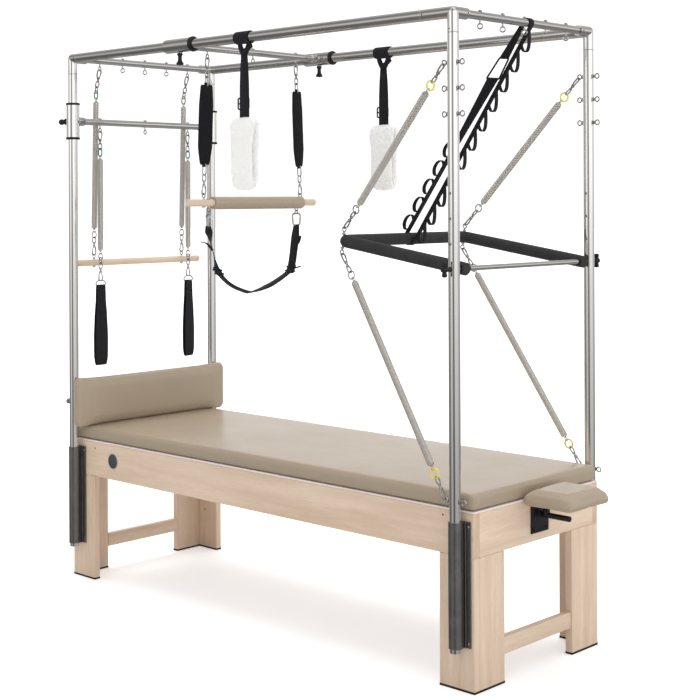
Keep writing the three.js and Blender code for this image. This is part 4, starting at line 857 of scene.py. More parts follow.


# Socket screws in a row, their heads rising along Z from the origin; each socket is a flat black hexagon on the head,
# painted shade where the recess would be dark
def screwTree():
    tree, given, made = newTree("screwRow", {
        "Count": (intKind, 1), "Step": (vectorKind, (0, 0, 10)), "Head Radius": (floatKind, 4.5),
        "Head Height": (floatKind, 3.0), "Finish": (materialKind, None), "Recess": (materialKind, None),
    })
    head = geo(tree, "MeshCylinder", Vertices=20, Radius=given["Head Radius"], Depth=given["Head Height"])
    head = moved(tree, head, lifted(tree, calc(tree, "DIVIDE", given["Head Height"], 2.0)))
    dome = geo(
        tree, "MeshCone", Vertices=20, Radius_Bottom=times(tree, given["Head Radius"], 0.99),
        Radius_Top=times(tree, given["Head Radius"], 0.78), Depth=0.5,
    )
    dome = moved(tree, dome, lifted(tree, given["Head Height"]))
    # The socket is a flat black hexagon laid on top of the head, not a hole: painted shade for the dark recess
    socket = geo(tree, "MeshCylinder", Vertices=6, Radius=times(tree, given["Head Radius"], 0.5), Depth=0.3)
    socket = moved(tree, socket, lifted(tree, plus(tree, given["Head Height"], 0.45)))
    parts = []
    for geometry, material in ((joined(tree, [head, dome]), given["Finish"]), (socket, given["Recess"])):
        parts.append(coated(tree, inRow(tree, geometry, given["Count"], given["Step"]), material))
    tree.links.new(joined(tree, parts), made[0])
    return tree


# Stitches in a row along X
def stitchTree():
    tree, given, made = newTree("stitchRow", {
        "Count": (intKind, 20), "Step": (vectorKind, (4, 0, 0)), "Length": (floatKind, 2.8),
        "Thread": (floatKind, 0.7), "Finish": (materialKind, None),
    })
    ball = geo(tree, "MeshUVSphere", Segments=6, Rings=4, Radius=0.5)
    shape = node(tree, "ShaderNodeCombineXYZ", X=given["Length"], Y=given["Thread"], Z=given["Thread"]).outputs[0]
    row = inRow(tree, moved(tree, ball, scale=shape), given["Count"], given["Step"])
    tree.links.new(coated(tree, row, given["Finish"]), made[0])
    return tree


trees = {make.__name__: make() for make in (springTree, eyeboltTree, screwTree, stitchTree)}


def basis(origin, x, z):
    z = z.normalized()
    y = z.cross(x).normalized()
    return Matrix.Translation(origin) @ Matrix((y.cross(z), y, z)).transposed().to_4x4()


# Eyebolts from a first eye: the shank's way, the direction that the eye faces and the row's step
def eyebolts(
    shape, eye, shankWay, facing, shankLength, nutStart, count=1, step=None, finish="steelSmall", nutRadius=6.5,
):
    z = shankWay.normalized()
    x = facing.cross(z)
    matrix = basis(eye, x, z)
    local = matrix.to_3x3().inverted() @ (step or Vector((0, 0, 0)))
    shape.grow(trees["eyeboltTree"], {
        "Count": count, "Step": local, "Shank Length": shankLength, "Nut Start": nutStart, "Nut Radius": nutRadius,
        "Finish": finishes[finish],
    }, matrix)


def screws(shape, place, way, radius, height, count=1, step=None, finish="steelSmall"):
    matrix = basis(place, axisX if abs(way.x) < 0.7 else axisY, way)
    local = matrix.to_3x3().inverted() @ (step or Vector((0, 0, 0)))
    shape.grow(trees["screwTree"], {
        "Count": count, "Step": local, "Head Radius": radius, "Head Height": height,
        "Finish": finishes[finish], "Recess": finishes["blackPlastic"],
    }, matrix)


def stitches(shape, start, stop, normal, pitch=4.2, length=2.8, thread=0.7, finish="thread"):
    way = stop - start
    count = max(int(way.length / pitch), 2)
    shape.grow(trees["stitchTree"], {
        "Count": count, "Step": Vector((way.length / count, 0, 0)), "Length": length, "Thread": thread,
        "Finish": finishes[finish],
    }, basis(start + way.normalized() * pitch / 2, way.normalized(), normal))


# A short row of stitches on both faces of a strap
def tack(shape, centre, half, out, depth):
    for face in (-1, 1):
        spot = centre + out * face * depth
        stitches(shape, spot - half, spot + half, out * face, 3.4, 2.6, 0.8)


# Table boards
boards.update({
    "halfLength": 1073.5, "halfWidth": 346.5, "thickness": 28, "apronLow": 429, "apronTop": 571, "deckTop": 577,
    "legAlong": 144, "legAcross": 157, "legLow": 5, "legTop": 428.7, "rim": 2.4, "stripTop": 7.5, "stripProud": 0.4,
    "deckProud": 1.0, "stretcher": (1069.5, 1043.5, 91, 146), "gap": 0.3, "flatOver": 2000, "badge": (-801.5, 505),
    "boltHoles": ((-922, 545), (946, 552)), "legHole": (-1007, 172),
})


def span(a, b, c, d, e, f):
    low, high = zip(*(sorted(pair) for pair in ((a, b), (c, d), (e, f))))
    return Vector(low), Vector(high)


# A bolt hole: a raised wood rim round a slightly domed black disc, the disc painted shade standing in for the dark
# inside of the hole
def boltHole(shape, place, way, radius=4):
    shape.add(turned(place, way, [(-0.5, radius * 1.3), (0.25, radius * 1.25), (0.3, radius)], 24), "woodUp")
    shape.add(
        turned(place, way, [(0.05, 0), (0.35, radius * 0.9), (0.15, radius), (-0.5, radius)], 24), "blackPlastic",
    )


def placeBoard(name, shape, replaced):
    placePiece(name, shape, rootBody, [replaced], flatOver=boards["flatOver"])


def makeTable():
    size = boards
    reachX, reachY, thick, rim = size["halfLength"], size["halfWidth"], size["thickness"], size["rim"]
    low, top = size["apronLow"], size["apronTop"]
    for side, sign in sides:
        board = boardPart(*span(-reachX, reachX, sign * reachY, sign * (reachY - thick), low, top), rim)
        shape = Shape().add(board, boardLooks(board, "woodLong", 0))
        if sign < 0:
            badgeX, badgeZ = size["badge"]
            face = at(badgeX, -reachY, badgeZ)
            shape.add(
                turned(
                    face, -axisY, [(-0.5, 30.6), (0.6, 30.6), (1.8, 29.9), (2.2, 29.0), (1.7, 27.6), (0.8, 27.4)], 72,
                ),
                "capMetal",
            )
            shape.add(turned(face, -axisY, [(0.8, 27.5), (1.5, 27.0), (1.7, 25.0), (1.7, 0)], 72), "discMetal")
            for x, z in size["boltHoles"]:
                boltHole(shape, at(x, -reachY, z), -axisY, 3.4)
        placeBoard(f"apronLong_{side}", shape, f"side_rail_{side}")
    for end, sign in ends:
        outer, inner = sign * reachX, sign * (reachX - thick)
        half = reachY - thick - size["gap"]
        shape = Shape().add(boardPart(*span(outer, inner, -half, half, low, top), rim), "woodAcross")
        placeBoard(f"apronShort_{end}", shape, f"end_rail_{end}")
        half = reachY - size["legAcross"] - size["gap"]
        far, near, *heights = size["stretcher"]
        shape = Shape().add(boardPart(*span(sign * far, sign * near, -half, half, *heights), rim), "woodAcross")
        placeBoard(f"stretcher_{end}", shape, f"stretcher_{end}")
        for side, way in sides:
            shape = Shape()
            alongX, acrossY = sign * (reachX - size["legAlong"]), way * (reachY - size["legAcross"])
            outerY, innerY = way * reachY, way * (reachY - thick)
            proud = size["stripProud"]
            boardEnds = (alongX, outerY, innerY, outerY + way * proud), (inner, innerY, acrossY, innerY - way)
            for inX, outY, inY, _ in boardEnds:
                shape.add(boardPart(*span(outer, inX, outY, inY, size["legLow"], size["legTop"]), rim), "woodUp")
            for inX, _, inY, stripY in boardEnds:
                strip = outer + sign * proud, inX - sign * proud, stripY, inY - way * proud, 0, size["stripTop"]
                shape.add(boardPart(*span(*strip), 0.8), "rubber")
            if end == "head":
                holeX, holeZ = size["legHole"]
                boltHole(shape, at(holeX, innerY, holeZ), axisY * -way, 4)
            placeBoard(f"leg_{end}_{side}", shape, f"leg_{end}_{side}")
    halfX, halfY = reachX + size["deckProud"], reachY + size["deckProud"]
    deck = span(-halfX, halfX, -halfY, halfY, top + size["gap"], size["deckTop"])
    shape = Shape().add(boardPart(*deck, 1.2), "woodEdge")
    placeBoard("deckBoard", shape, "deck_board")


makeTable()
print("table boards made")


# Post clamps: an extruded channel round each post, screwed to the table
clamps = {
    "low": 145, "height": 400, "postX": 1023, "postY": 378, "bore": 19.35, "shell": 22.8, "face": 31.2,
    "flange": 39.5,
}


def clampOutline():
    size = clamps
    arc = [math.radians(a) for a in range(44, -45, -11)]
    half = [
        (16.2, 16.6), (17.0, 18.6), (20.6, 18.6), (21.4, 17.4), (27.6, 17.4), (28.2, 18.4), (28.2, 21.2),
        (27.4, 21.8),
        (19.4, 22.2), (18.4, 23.2), (18.4, 25.2), (19.4, 26.2), (26.4, 26.6), (27.2, 27.4), (27.0, 28.6),
        (24.6, 29.2), (24.4, 38.4), (25.2, size["flange"]), (30.4, size["flange"]), (size["face"], 38.6),
    ]
    outline = half + [(a, -b) for a, b in reversed(half)]
    return outline + [(size["bore"] * math.cos(a), size["bore"] * math.sin(a)) for a in reversed(arc)]


def makeClamps():
    size = clamps
    low, height = size["low"], size["height"]
    profile = [
        (0, size["bore"]), (0, size["shell"] - 0.6), (0.6, size["shell"]), (height - 0.6, size["shell"]),
        (height, size["shell"] - 0.6), (height, size["bore"]),
    ]
    for end, endSign in ends:
        for side, sideSign in sides:
            foot = at(endSign * size["postX"], sideSign * size["postY"], low)
            shape = Shape().add(turned(foot, axisZ, profile, 56, True), "extrusion")
            inward = at(0, -sideSign, 0)
            across = inward.cross(axisZ)
            middle = foot + axisZ * height / 2
            shape.add(plate(clampOutline(), middle, inward, across, height, 0.35), "extrusion")
            for rise in (15, height - 15):
                for way in (-1, 1):
                    seat = foot + axisZ * rise + inward * 24.5 + across * way * 33.8
                    screws(shape, seat, -inward, 4.5, 3.4)
            placePiece(f"clamp_{end}_{side}", shape, rootBody, [f"clamp_{end}_{side}"], 32)


makeClamps()
print("clamps made")


# Canopy tubes and fittings
canopy = {
    "postX": 1023, "postY": 378, "postLow": 131, "postTop": 2095.7, "railZ": 2161, "radius": 19, "inner": 16.5,
    "footReach": 125, "headReach": 43, "crossReach": 65, "drop": 65, "barRadius": 14, "eyeZ": 2127.5, "eyePitch": 120,
    "holes": (1346, 1426, 1506, 1586), "postEyes": (609, 2002, 1920, 1838), "postEyeReach": 37, "shank": 53.5,
    "nutStart": 47.3,
}


def carved(part, cutters):
    def standing(made, name):
        mesh = bpy.data.meshes.new(name)
        mesh.from_pydata(made[0], [], made[1])
        facedOut(mesh)
        return linked(name, mesh)

    body = standing(part, "carvedBody")
    tools = [standing(cutter, "cutter") for cutter in cutters]
    for tool in tools:
        modifier = body.modifiers.new("cut", "BOOLEAN")
        modifier.operation, modifier.solver, modifier.object = "DIFFERENCE", "EXACT", tool
    made = finalMesh(body)
    result = [v.co.copy() for v in made.vertices], [list(face.vertices) for face in made.polygons]
    for thing in [body] + tools:
        thing.modifiers.clear()
        bpy.data.objects.remove(thing)
    bpy.data.meshes.remove(made)
    return result


def makePosts():
    size = canopy
    for end, endSign in ends:
        for side, sideSign in sides:
            x, y = endSign * size["postX"], sideSign * size["postY"]
            part = tube(at(x, y, size["postLow"]), at(x, y, size["postTop"]), size["radius"], size["inner"], 0.9, 56)
            if endSign > 0:
                cutters = [bar(at(x, y - 30, z), at(x, y + 30, z), 5, 0.1, 24) for z in size["holes"]]
                part = carved(part, cutters)
            shape = Shape().add(part, "steelUp")
            if endSign > 0:
                for z in size["postEyes"]:
                    for way in (-1, 1):
                        eye = at(x + way * size["postEyeReach"], y, z)
                        eyebolts(shape, eye, axisX * -way, axisY, 21, 12.6, nutRadius=6)
            shape.add(
                turned(at(x, y, size["postLow"]), axisZ, [(2, 0), (0.6, 14), (0.4, 16.3), (3, 16.6)], 40),
                "blackPlastic",
            )
            placePiece(f"post_{end}_{side}", shape, rootBody, [f"post_{end}_{side}"], 35)


def makeCorners():
    size = canopy
    radius = size["radius"]
    for end, endSign in ends:
        for side, sideSign in sides:
            corner = at(endSign * size["postX"], sideSign * size["postY"], size["railZ"])
            shape = Shape()
            turns = [math.pi * i / 20 for i in range(21)]
            shape.add(
                turned(corner, axisX * -endSign, [(-radius * math.cos(t), radius * math.sin(t)) for t in turns], 48),
                "steelLong",
            )
            reach = size["footReach"] if endSign > 0 else size["headReach"]
            for way, length, look in (
                (-axisZ, size["drop"], "steelUp"), (axisX * -endSign, reach, "steelLong"),
                (axisY * -sideSign, size["crossReach"], "steelAcross"),
            ):
                shape.add(bar(corner, corner + way * length, radius, 0.9, 56), look)
                collar = corner + way * (length - 11)
                face = axisY * sideSign if abs(way.y) < 0.5 else axisX * endSign
                screws(shape, collar + face * (radius - 0.9), face, 2.6, 0.9, finish="blackPlastic")
            profile = [
                (-0.4, radius - 1.2), (0.3, radius - 0.8), (0.3, size["barRadius"] + 0.2),
                (-0.4, size["barRadius"] + 0.2),
            ]
            shape.add(
                turned(corner - axisY * sideSign * size["crossReach"], axisY * -sideSign, profile, 56, True),
                "steelAcross",
            )
            placePiece(f"corner_{end}_{side}", shape, rootBody, [f"corner_{end}_{side}"], 35)


def makeRails():
    size = canopy
    for side, sign in sides:
        start = at(-size["postX"] + size["headReach"] + 0.3, sign * size["postY"], size["railZ"])
        stop = at(size["postX"] - size["footReach"] - 0.3, sign * size["postY"], size["railZ"])
        shape = Shape().add(tube(start, stop, size["radius"], size["inner"], 0.9, 64), "steelLong")
        placePiece(f"longRail_{side}", shape, rootBody, [f"long_rail_{side}"], 35)
    half = size["postY"] - 25.3
    for end, sign in ends:
        x = sign * size["postX"]
        shape = Shape().add(
            tube(at(x, -half, size["railZ"]), at(x, half, size["railZ"]), size["barRadius"], 12, 0.8, 48),
            "steelAcross",
        )
        first = at(x, -2 * size["eyePitch"], size["eyeZ"])
        slanted, pitch = at(0.5, -0.87, 0), at(0, size["eyePitch"], 0)
        rows = [(first, slanted, 5, pitch)]
        if sign < 0:
            rows = [(first, axisY, 2, pitch * 4), (first + pitch, slanted, 3, pitch)]
        for eye, facing, count, step in rows:
            eyebolts(shape, eye, axisZ, facing, size["shank"], size["nutStart"], count, step)
        placePiece(f"crossbar_{end}", shape, rootBody, [f"crossbar_{end}"], 35)


makePosts()
makeCorners()
makeRails()
print("canopy made")


# Sliding bars and their pull knobs
sliders = {
    "headZ": 1900, "topX": -326, "headLength": 136, "topLength": 150, "sleeve": 27, "bore": 19.5, "ring": 29,
    "ringHeight": 8,
    "socket": 18, "socketReach": 54, "barRadius": 13.5, "eyeDrop": 33.5, "boltAcross": 40.5, "boltReach": 22,
    "headKnob": (
        (0.4, 0), (0.4, 12.6), (1.4, 13.8), (3.6, 14), (5.2, 12.8), (7, 9.2), (12, 8.2), (20, 9), (30, 11.4),
        (38, 12.3), (43, 11.2), (45.6, 7.5), (46, 0),
    ),
    "topKnob": (
        (0.4, 0), (0.4, 10.5), (1.2, 11.4), (4.6, 11.4), (6.6, 8.8), (12, 7.6), (24, 7.8), (31, 9.4), (34.6, 13),
        (36.4, 14), (41, 14), (43.2, 12.6), (44, 9), (44, 0),
    ),
}


def makeSlider(name, body, x, z, along, length, ringEnds, knobWay, bossHeight, look):
    size = sliders
    shape = Shape()
    for side, sign in sides:
        centre = at(x, sign * canopy["postY"], z)
        start, stop = centre - along * length / 2, centre + along * length / 2
        shape.add(tube(start, stop, size["sleeve"], size["bore"], 1.4, 60), look)
        for end in (-1, 1):
            edge = centre + along * end * length / 2
            tall = size["ringHeight"] if end in ringEnds else 2.4
            outer = size["ring"] if end in ringEnds else size["sleeve"] - 0.6
            profile = [
                (-0.2, size["bore"] - 0.1), (-0.2, outer - 1), (0.8, outer), (tall - 1.6, outer),
                (tall - 0.4, outer - 0.8), (tall, outer - 2.4), (tall, size["bore"] - 0.1),
            ]
            shape.add(turned(edge, along * end, profile, 60, True), "blackPlastic")
        inward = at(0, -sign, 0)
        shape.add(
            turned(
                centre, inward,
                [
                    (20, 0), (22, size["socket"]), (size["socketReach"] - 2, size["socket"]),
                    (size["socketReach"] - 0.5, size["socket"] - 0.6), (size["socketReach"], size["socket"] - 2),
                    (size["socketReach"], 0),
                ],
                48,
            ),
            "steelAcross",
        )
        shape.add(turned(centre, inward, [(26.2, 17.4), (27.2, 19.4), (30.4, 19.4), (31.4, 17.4)], 48), "steelAcross")
        boltAt = centre + inward * size["boltAcross"]
        shape.add(bar(boltAt, boltAt + axisX * (size["socket"] + size["boltReach"] - 7), 3.6, 0.4, 20), "steelSmall")
        shape.add(
            turned(boltAt + axisX * (size["socket"] + 6), axisX, [(0, 0), (0, 6.2), (5, 6.2), (6, 5.2), (6, 0)], 6),
            "steelSmall",
        )
        shape.add(
            turned(
                boltAt + axisX * (size["socket"] + 12), axisX, [(0, 4), (1, 7.4), (9, 7.4), (10, 6.4), (10, 0)], 18,
            ),
            "steelSmall",
        )
        boss = centre + knobWay * size["sleeve"]
        shape.add(
            turned(
                boss, knobWay, [(-3, 9.6), (0.6, 9.2), (bossHeight - 1, 9), (bossHeight, 8.2), (bossHeight, 0)], 32,
            ),
            "steelSmall",
        )
    half = canopy["postY"] - 40
    shape.add(bar(at(x, -half, z), at(x, half, z), size["barRadius"], 0.5, 44), "steelAcross")
    eyebolts(shape, at(x, -240, z - size["eyeDrop"]), axisZ, axisY, 53, 46.8, 3, at(0, 240, 0))
    placePiece(f"{name}Slider", shape, body, [f"{name}_slider"], 35)
    for side, sign in sides:
        centre = at(x, sign * canopy["postY"], z) + knobWay * (size["sleeve"] + bossHeight)
        shape = Shape().add(turned(centre, knobWay, size[name + "Knob"], 40), "blackPlastic")
        shape.add(bar(centre - knobWay * (bossHeight + 6), centre + knobWay * 2, 5, 0.3, 24), "steelSmall")
        placePiece(
            f"{name}Knob_{side}", shape, f"{name}_pull_knob_{side}", [f"{name}_knob_{side}"], 50,
        )


makeSlider(
    "head", "head_slide_bar", -canopy["postX"], sliders["headZ"], axisZ, sliders["headLength"], (-1, 1), -axisX, 16,
    "steelUp",
)
makeSlider(
    "top", "top_slide_bar", sliders["topX"], canopy["railZ"], axisX, sliders["topLength"], (1,), -axisZ, 4,
    "steelLong",
)
print("sliders made")


# Chains: hooks, rings and springs between two eyes
chains = {
    "hook": 40, "swivel": 12, "clip": 24, "hookWidth": 18, "clipWidth": 17, "wire": 2.7, "ring": 24, "ringWire": 3.0,
    "ringWidth": 32, "small": 20, "smallWire": 2.3, "smallWidth": 28, "coil": 10.6, "coilWire": 1.55, "pitch": 3.12,
    "seat": 4.84,
}


def ovalPath(centre, along, across, length, width, steps=28):
    bend, straight = width / 2, max(length - width, 0) / 2
    path = []
    for i in range(steps):
        turn = 2 * math.pi * (i + 0.5) / steps
        squeeze = min(length / width, 1)
        reach = bend * math.sin(turn) * squeeze + math.copysign(straight, math.sin(turn))
        path.append(centre + across * bend * math.cos(turn) + along * reach)
    return path


def addSnap(shape, start, end, flat, turn):
    size = chains
    way = (end - start).normalized() * turn
    top = start if turn > 0 else end
    length, wireRadius = (end - start).length, size["wire"]
    usual = size["hook"] + size["swivel"] + size["clip"]
    if length > usual + 8:
        extra = length - usual + 2 * wireRadius
        middle = top + way * (length - extra / 2 + wireRadius)
        other = way.cross(flat)
        shape.add(wire(ovalPath(middle, way, other, extra + 4, 15), wireRadius, 10, True, flat), "steelSmall")
        length = usual
    waist = length - size["swivel"] - size["clip"]
    half = size["hookWidth"] / 2
    path = [(-half * 0.5, waist - 3), (-half * 0.95, waist * 0.6), (-half, 12), (-half * 0.9, 4), (-half * 0.4, 0.3)]
    path += [(half * 0.4, 0.3), (half * 0.9, 4), (half, 12), (half * 0.9, 17)]
    shape.add(wire(smoothLine([top + flat * a + way * b for a, b in path], 4), wireRadius * 1.15, 10), "steelSmall")
    gate = [(half * 0.86, 12), (half * 0.84, 19), (half * 0.7, waist * 0.7), (half * 0.42, waist - 3)]
    shape.add(wire(smoothLine([top + flat * a + way * b for a, b in gate], 4), wireRadius * 0.95, 8), "steelSmall")
    profile = [
        (-9, 0), (-9, 5.2), (-8, 6.6), (-1, 6.6), (0.6, 5.0), (3, 4.2), (7, 4.2), (8.4, 6.4), (12.2, 6.4),
        (13.6, 5.0), (13.6, 0),
    ]
    shape.add(turned(top + way * waist, way, profile, 18), "steelSmall")
    eye = ovalPath(
        top + way * (waist + size["swivel"] + size["clip"] / 2), way, flat, size["clip"] + 1, size["clipWidth"],
    )
    shape.add(wire(eye, wireRadius, 8, True, flat.cross(way)), "steelSmall")


def addRing(shape, start, end, flat, width, radius, look):
    way = (end - start).normalized()
    path = ovalPath((start + end) / 2, way, flat, (end - start).length, width)
    shape.add(wire(path, radius, 10, True, flat.cross(way)), look)


def addCoil(shape, start, end, flat):
    size = chains
    cone, loop = 9.0, 6.2
    reach = cone + 2 * loop - 0.6
    way = (end - start).normalized()
    barrel = (end - start).length - 2 * reach
    shape.grow(trees["springTree"], {
        "Turns": int(barrel / size["pitch"]), "Coil Radius": size["coil"], "Wire Radius": size["coilWire"],
        "Barrel": barrel, "Cone": cone, "Loop Radius": loop, "Finish": finishes["springWire"],
    }, basis(end - way * reach, flat, -way))


def chain(shape, start, end, across, parts):
    size = chains
    way = (end - start).normalized()
    flat = (across - way * across.dot(way)).normalized()
    other = way.cross(flat)
    snapLength = size["hook"] + size["swivel"] + size["clip"]
    lengths = {
        "snap": snapLength, "snapBack": snapLength, "green": size["ring"], "yellow": size["ring"],
        "plain": size["small"],
    }
    spare = (end - start).length - sum(lengths.get(part, 0) for part in parts)
    walked, spots = 0.0, {}
    for index, part in enumerate(parts):
        length = lengths.get(part, spare)
        a, b = start + way * walked, start + way * (walked + length)
        lay = other if index % 2 else flat
        if part in ("snap", "snapBack"):
            addSnap(shape, a, b, lay, 1 if part == "snap" else -1)
        elif part == "coil":
            addCoil(shape, a, b, lay)
            spots["coil"] = (a, b)
        elif part == "stretched":
            addRing(shape, a, b, lay, size["small"], size["wire"], "steelSmall")
        elif part == "green":
            addRing(shape, a - way * 5, b + way * 5, lay, 23, 2.6, "greenCoat")
        elif part == "yellow":
            addRing(shape, a - way * 4, b + way * 4, lay, size["ringWidth"], size["ringWire"], "yellowCoat")
        else:
            addRing(shape, a - way * 4, b + way * 4, lay, size["smallWidth"], size["smallWire"], "steelSmall")
        walked += length
    return spots


def hookSeat(eye, way):
    return eye + way.normalized() * chains["seat"]


# Push-through bar with its rod, wing knobs and springs
pushBar = {
    "crossX": 490, "crossZ": 1426, "armY": 330, "pivotX": 1023, "pivotZ": 1346, "radius": 21.5, "beyond": 14,
    "eyeReach": 41, "rodRadius": 8.5, "rodHalf": 358.7, "studRadius": 4.7, "studHalf": 421, "bend": 30,
}
armWay = at(pushBar["pivotX"] - pushBar["crossX"], 0, pushBar["pivotZ"] - pushBar["crossZ"]).normalized()
armUp = at(-armWay.z, 0, armWay.x)


def makePushBar():
    size = pushBar
    radius = size["radius"]
    line = []
    for sign in (-1, 1):
        pivot = at(size["pivotX"], sign * size["armY"], size["pivotZ"])
        corner = at(size["crossX"], sign * size["armY"], size["crossZ"])
        near = [pivot + armWay * size["beyond"], corner]
        line += near if sign < 0 else near[::-1]
    bent = softened(line, size["bend"], 10, False)
    path = []
    for a, b in zip(bent, bent[1:]):
        steps = max(int((b - a).length / 14), 1)
        path += [a.lerp(b, i / steps) for i in range(steps)]
    path.append(bent[-1])
    wave = [1 + 0.006 * noise.noise(p * 0.02) for p in path]
    scales = [(w, w) for w in wave]
    for i, share in ((0, 0.86), (1, 0.97)):
        scales[i] = scales[-1 - i] = (share, share)
    path[1], path[-2] = path[0].lerp(path[1], 0.2), path[-1].lerp(path[-2], 0.2)
    shape = Shape().add(sweep(path, circleSection(radius, 40), scales=scales), "foam")
    for sign in (-1, 1):
        corner = at(size["crossX"], sign * size["armY"], size["crossZ"])
        for turn in (-1, 1):
            out = armUp * turn
            eyebolts(shape, corner + out * size["eyeReach"], -out, axisY, 30, 14.4, nutRadius=7)
        pivot = at(size["pivotX"], sign * size["armY"], size["pivotZ"])
        for way in (-1, 1):
            shape.add(
                turned(
                    pivot, axisY * way,
                    [
                        (radius - 1.4, 0), (radius - 0.2, 12.6), (radius + 0.4, 12.8), (radius + 0.8, 12.2),
                        (radius + 0.8, 8.6),
                    ],
                    32,
                ),
                "blackPlastic",
            )
    piece = placePiece("pushBar", shape, "push_frame", ["push_bar"], 50)
    x, z = size["pivotX"], size["pivotZ"]
    rod, stud = at(0, size["rodHalf"], 0), at(0, size["studHalf"], 0)
    pivot = at(x, 0, z)
    shape = Shape().add(bar(pivot - rod, pivot + rod, size["rodRadius"], 0.8, 32), "steelAcross")
    shape.add(bar(pivot - stud, pivot + stud, size["studRadius"], 0.4, 20), "steelSmall")
    placePiece("pushRod", shape, rootBody, ["push_rod"])
    for side, sign in sides:
        base = canopy["postY"] + canopy["radius"] + 0.3
        place = at(x, sign * base, z)
        shape = Shape().add(
            turned(
                place, axisY * sign,
                [(0, 5), (0, 7.4), (0.8, 8), (20, 8), (30, 9.4), (37, 9.2), (39.4, 7.6), (40, 5), (40, 0)], 36,
            ),
            "blackPlastic",
        )
        outline = [
            (25, 2.6), (24, 6), (21, 8.3), (15, 7.6), (8, 5.2), (0, 4.6), (-8, 5.2), (-15, 7.6), (-21, 8.3), (-24, 6),
            (-25, 2.6),
        ]
        outline += [(-a, -b) for a, b in outline]
        outline = softened([Vector(p) for p in outline], 3, 3)
        shape.add(plate(outline, place + axisY * sign * 28, axisZ, axisX, 11, 2.2), "blackPlastic")
        shape.add(turned(place, axisY * sign, [(0.2, 5), (0.2, 9.8), (1.6, 9.8), (1.6, 5)], 28), "steelSmall")
        placePiece(f"wingKnob_{side}", shape, f"wing_{side}", [f"wing_knob_{side}"], 50)
        corner = at(size["crossX"], sign * size["armY"], size["crossZ"])
        for name, eyeIndex, turn in (("upper", 1, 1), ("lower", 0, -1)):
            postEye = at(x - canopy["postEyeReach"], sign * canopy["postY"], canopy["postEyes"][eyeIndex])
            barEye = corner + armUp * turn * size["eyeReach"]
            way = barEye - postEye
            a, b = hookSeat(postEye, way), hookSeat(barEye, -way)
            shape = Shape()
            chain(shape, a, b, axisY, ["snap", "yellow", "coil", "plain", "snapBack"])
            placePiece(
                f"pushSpring_{name}_{side}", shape, rootBody, [f"push_spring_{name}_{side}"], 50,
                ("push_frame", a, b),
            )


makePushBar()
print("push-through bar made")


# Roll-down bar and hand loops at the head end
rollDown = {"bendX": -1050, "bendZ": 2030, "x": -1070, "z": 1305, "eyeZ": 1333, "half": 340, "eyeY": 240,
    "ends": ((0, 0), (0.5, 6), (2, 10.4), (4.5, 12.8), (8, 14))}


def makeRollDown():
    size = rollDown
    bodyParts = Shape()
    for side, sign in sides:
        y = sign * size["eyeY"]
        topEye, bend = at(-canopy["postX"], y, canopy["eyeZ"]), at(size["bendX"], y, size["bendZ"])
        barEye = at(size["x"], y, size["eyeZ"])
        shape = Shape()
        addSnap(shape, hookSeat(topEye, bend - topEye), bend, axisY, 1)
        low = hookSeat(barEye, bend - barEye)
        spots = chain(shape, bend, low, axisX, ["green", "coil", "plain", "snapBack"])
        a, b = spots["coil"]
        placePiece(
            f"rollSpring_{side}", shape, "roll_chains", [f"roll_spring_{side}"], 50,
            ("roll_down_bar", a.lerp(b, 0.04), a.lerp(b, 0.96)),
        )
        eyebolts(bodyParts, barEye, -axisZ, axisY, 28 + 14 + 8, 28 + 14.2)
    half = size["half"]
    profile = [*size["ends"], *((2 * half - reach, radius) for reach, radius in reversed(size["ends"]))]
    bodyParts.add(turned(at(size["x"], -half, size["z"]), axisY, profile, 40), "woodAcross")
    placePiece("rollBar", bodyParts, "roll_down_bar", ["roll_bar"], 50)


makeRollDown()
handLoops = {"x": -1023, "eyeY": 240, "eyeZ": 1866.5, "springLow": 1321, "buckleTop": 1230, "buckleZ": 1219,
    "tacks": ((1192, 0.86, 17), (1176, 0.86, 17), (1052, 0.99, 24), (1046, 0.99, 24)), "strapTop": 1212,
    "strapLow": 875, "depth": 18, "width": 50,
    "taper": ((0, 0.86), (0.2, 0.88), (0.36, 1.08), (0.65, 1.26), (0.9, 1.23), (1, 1.06))}


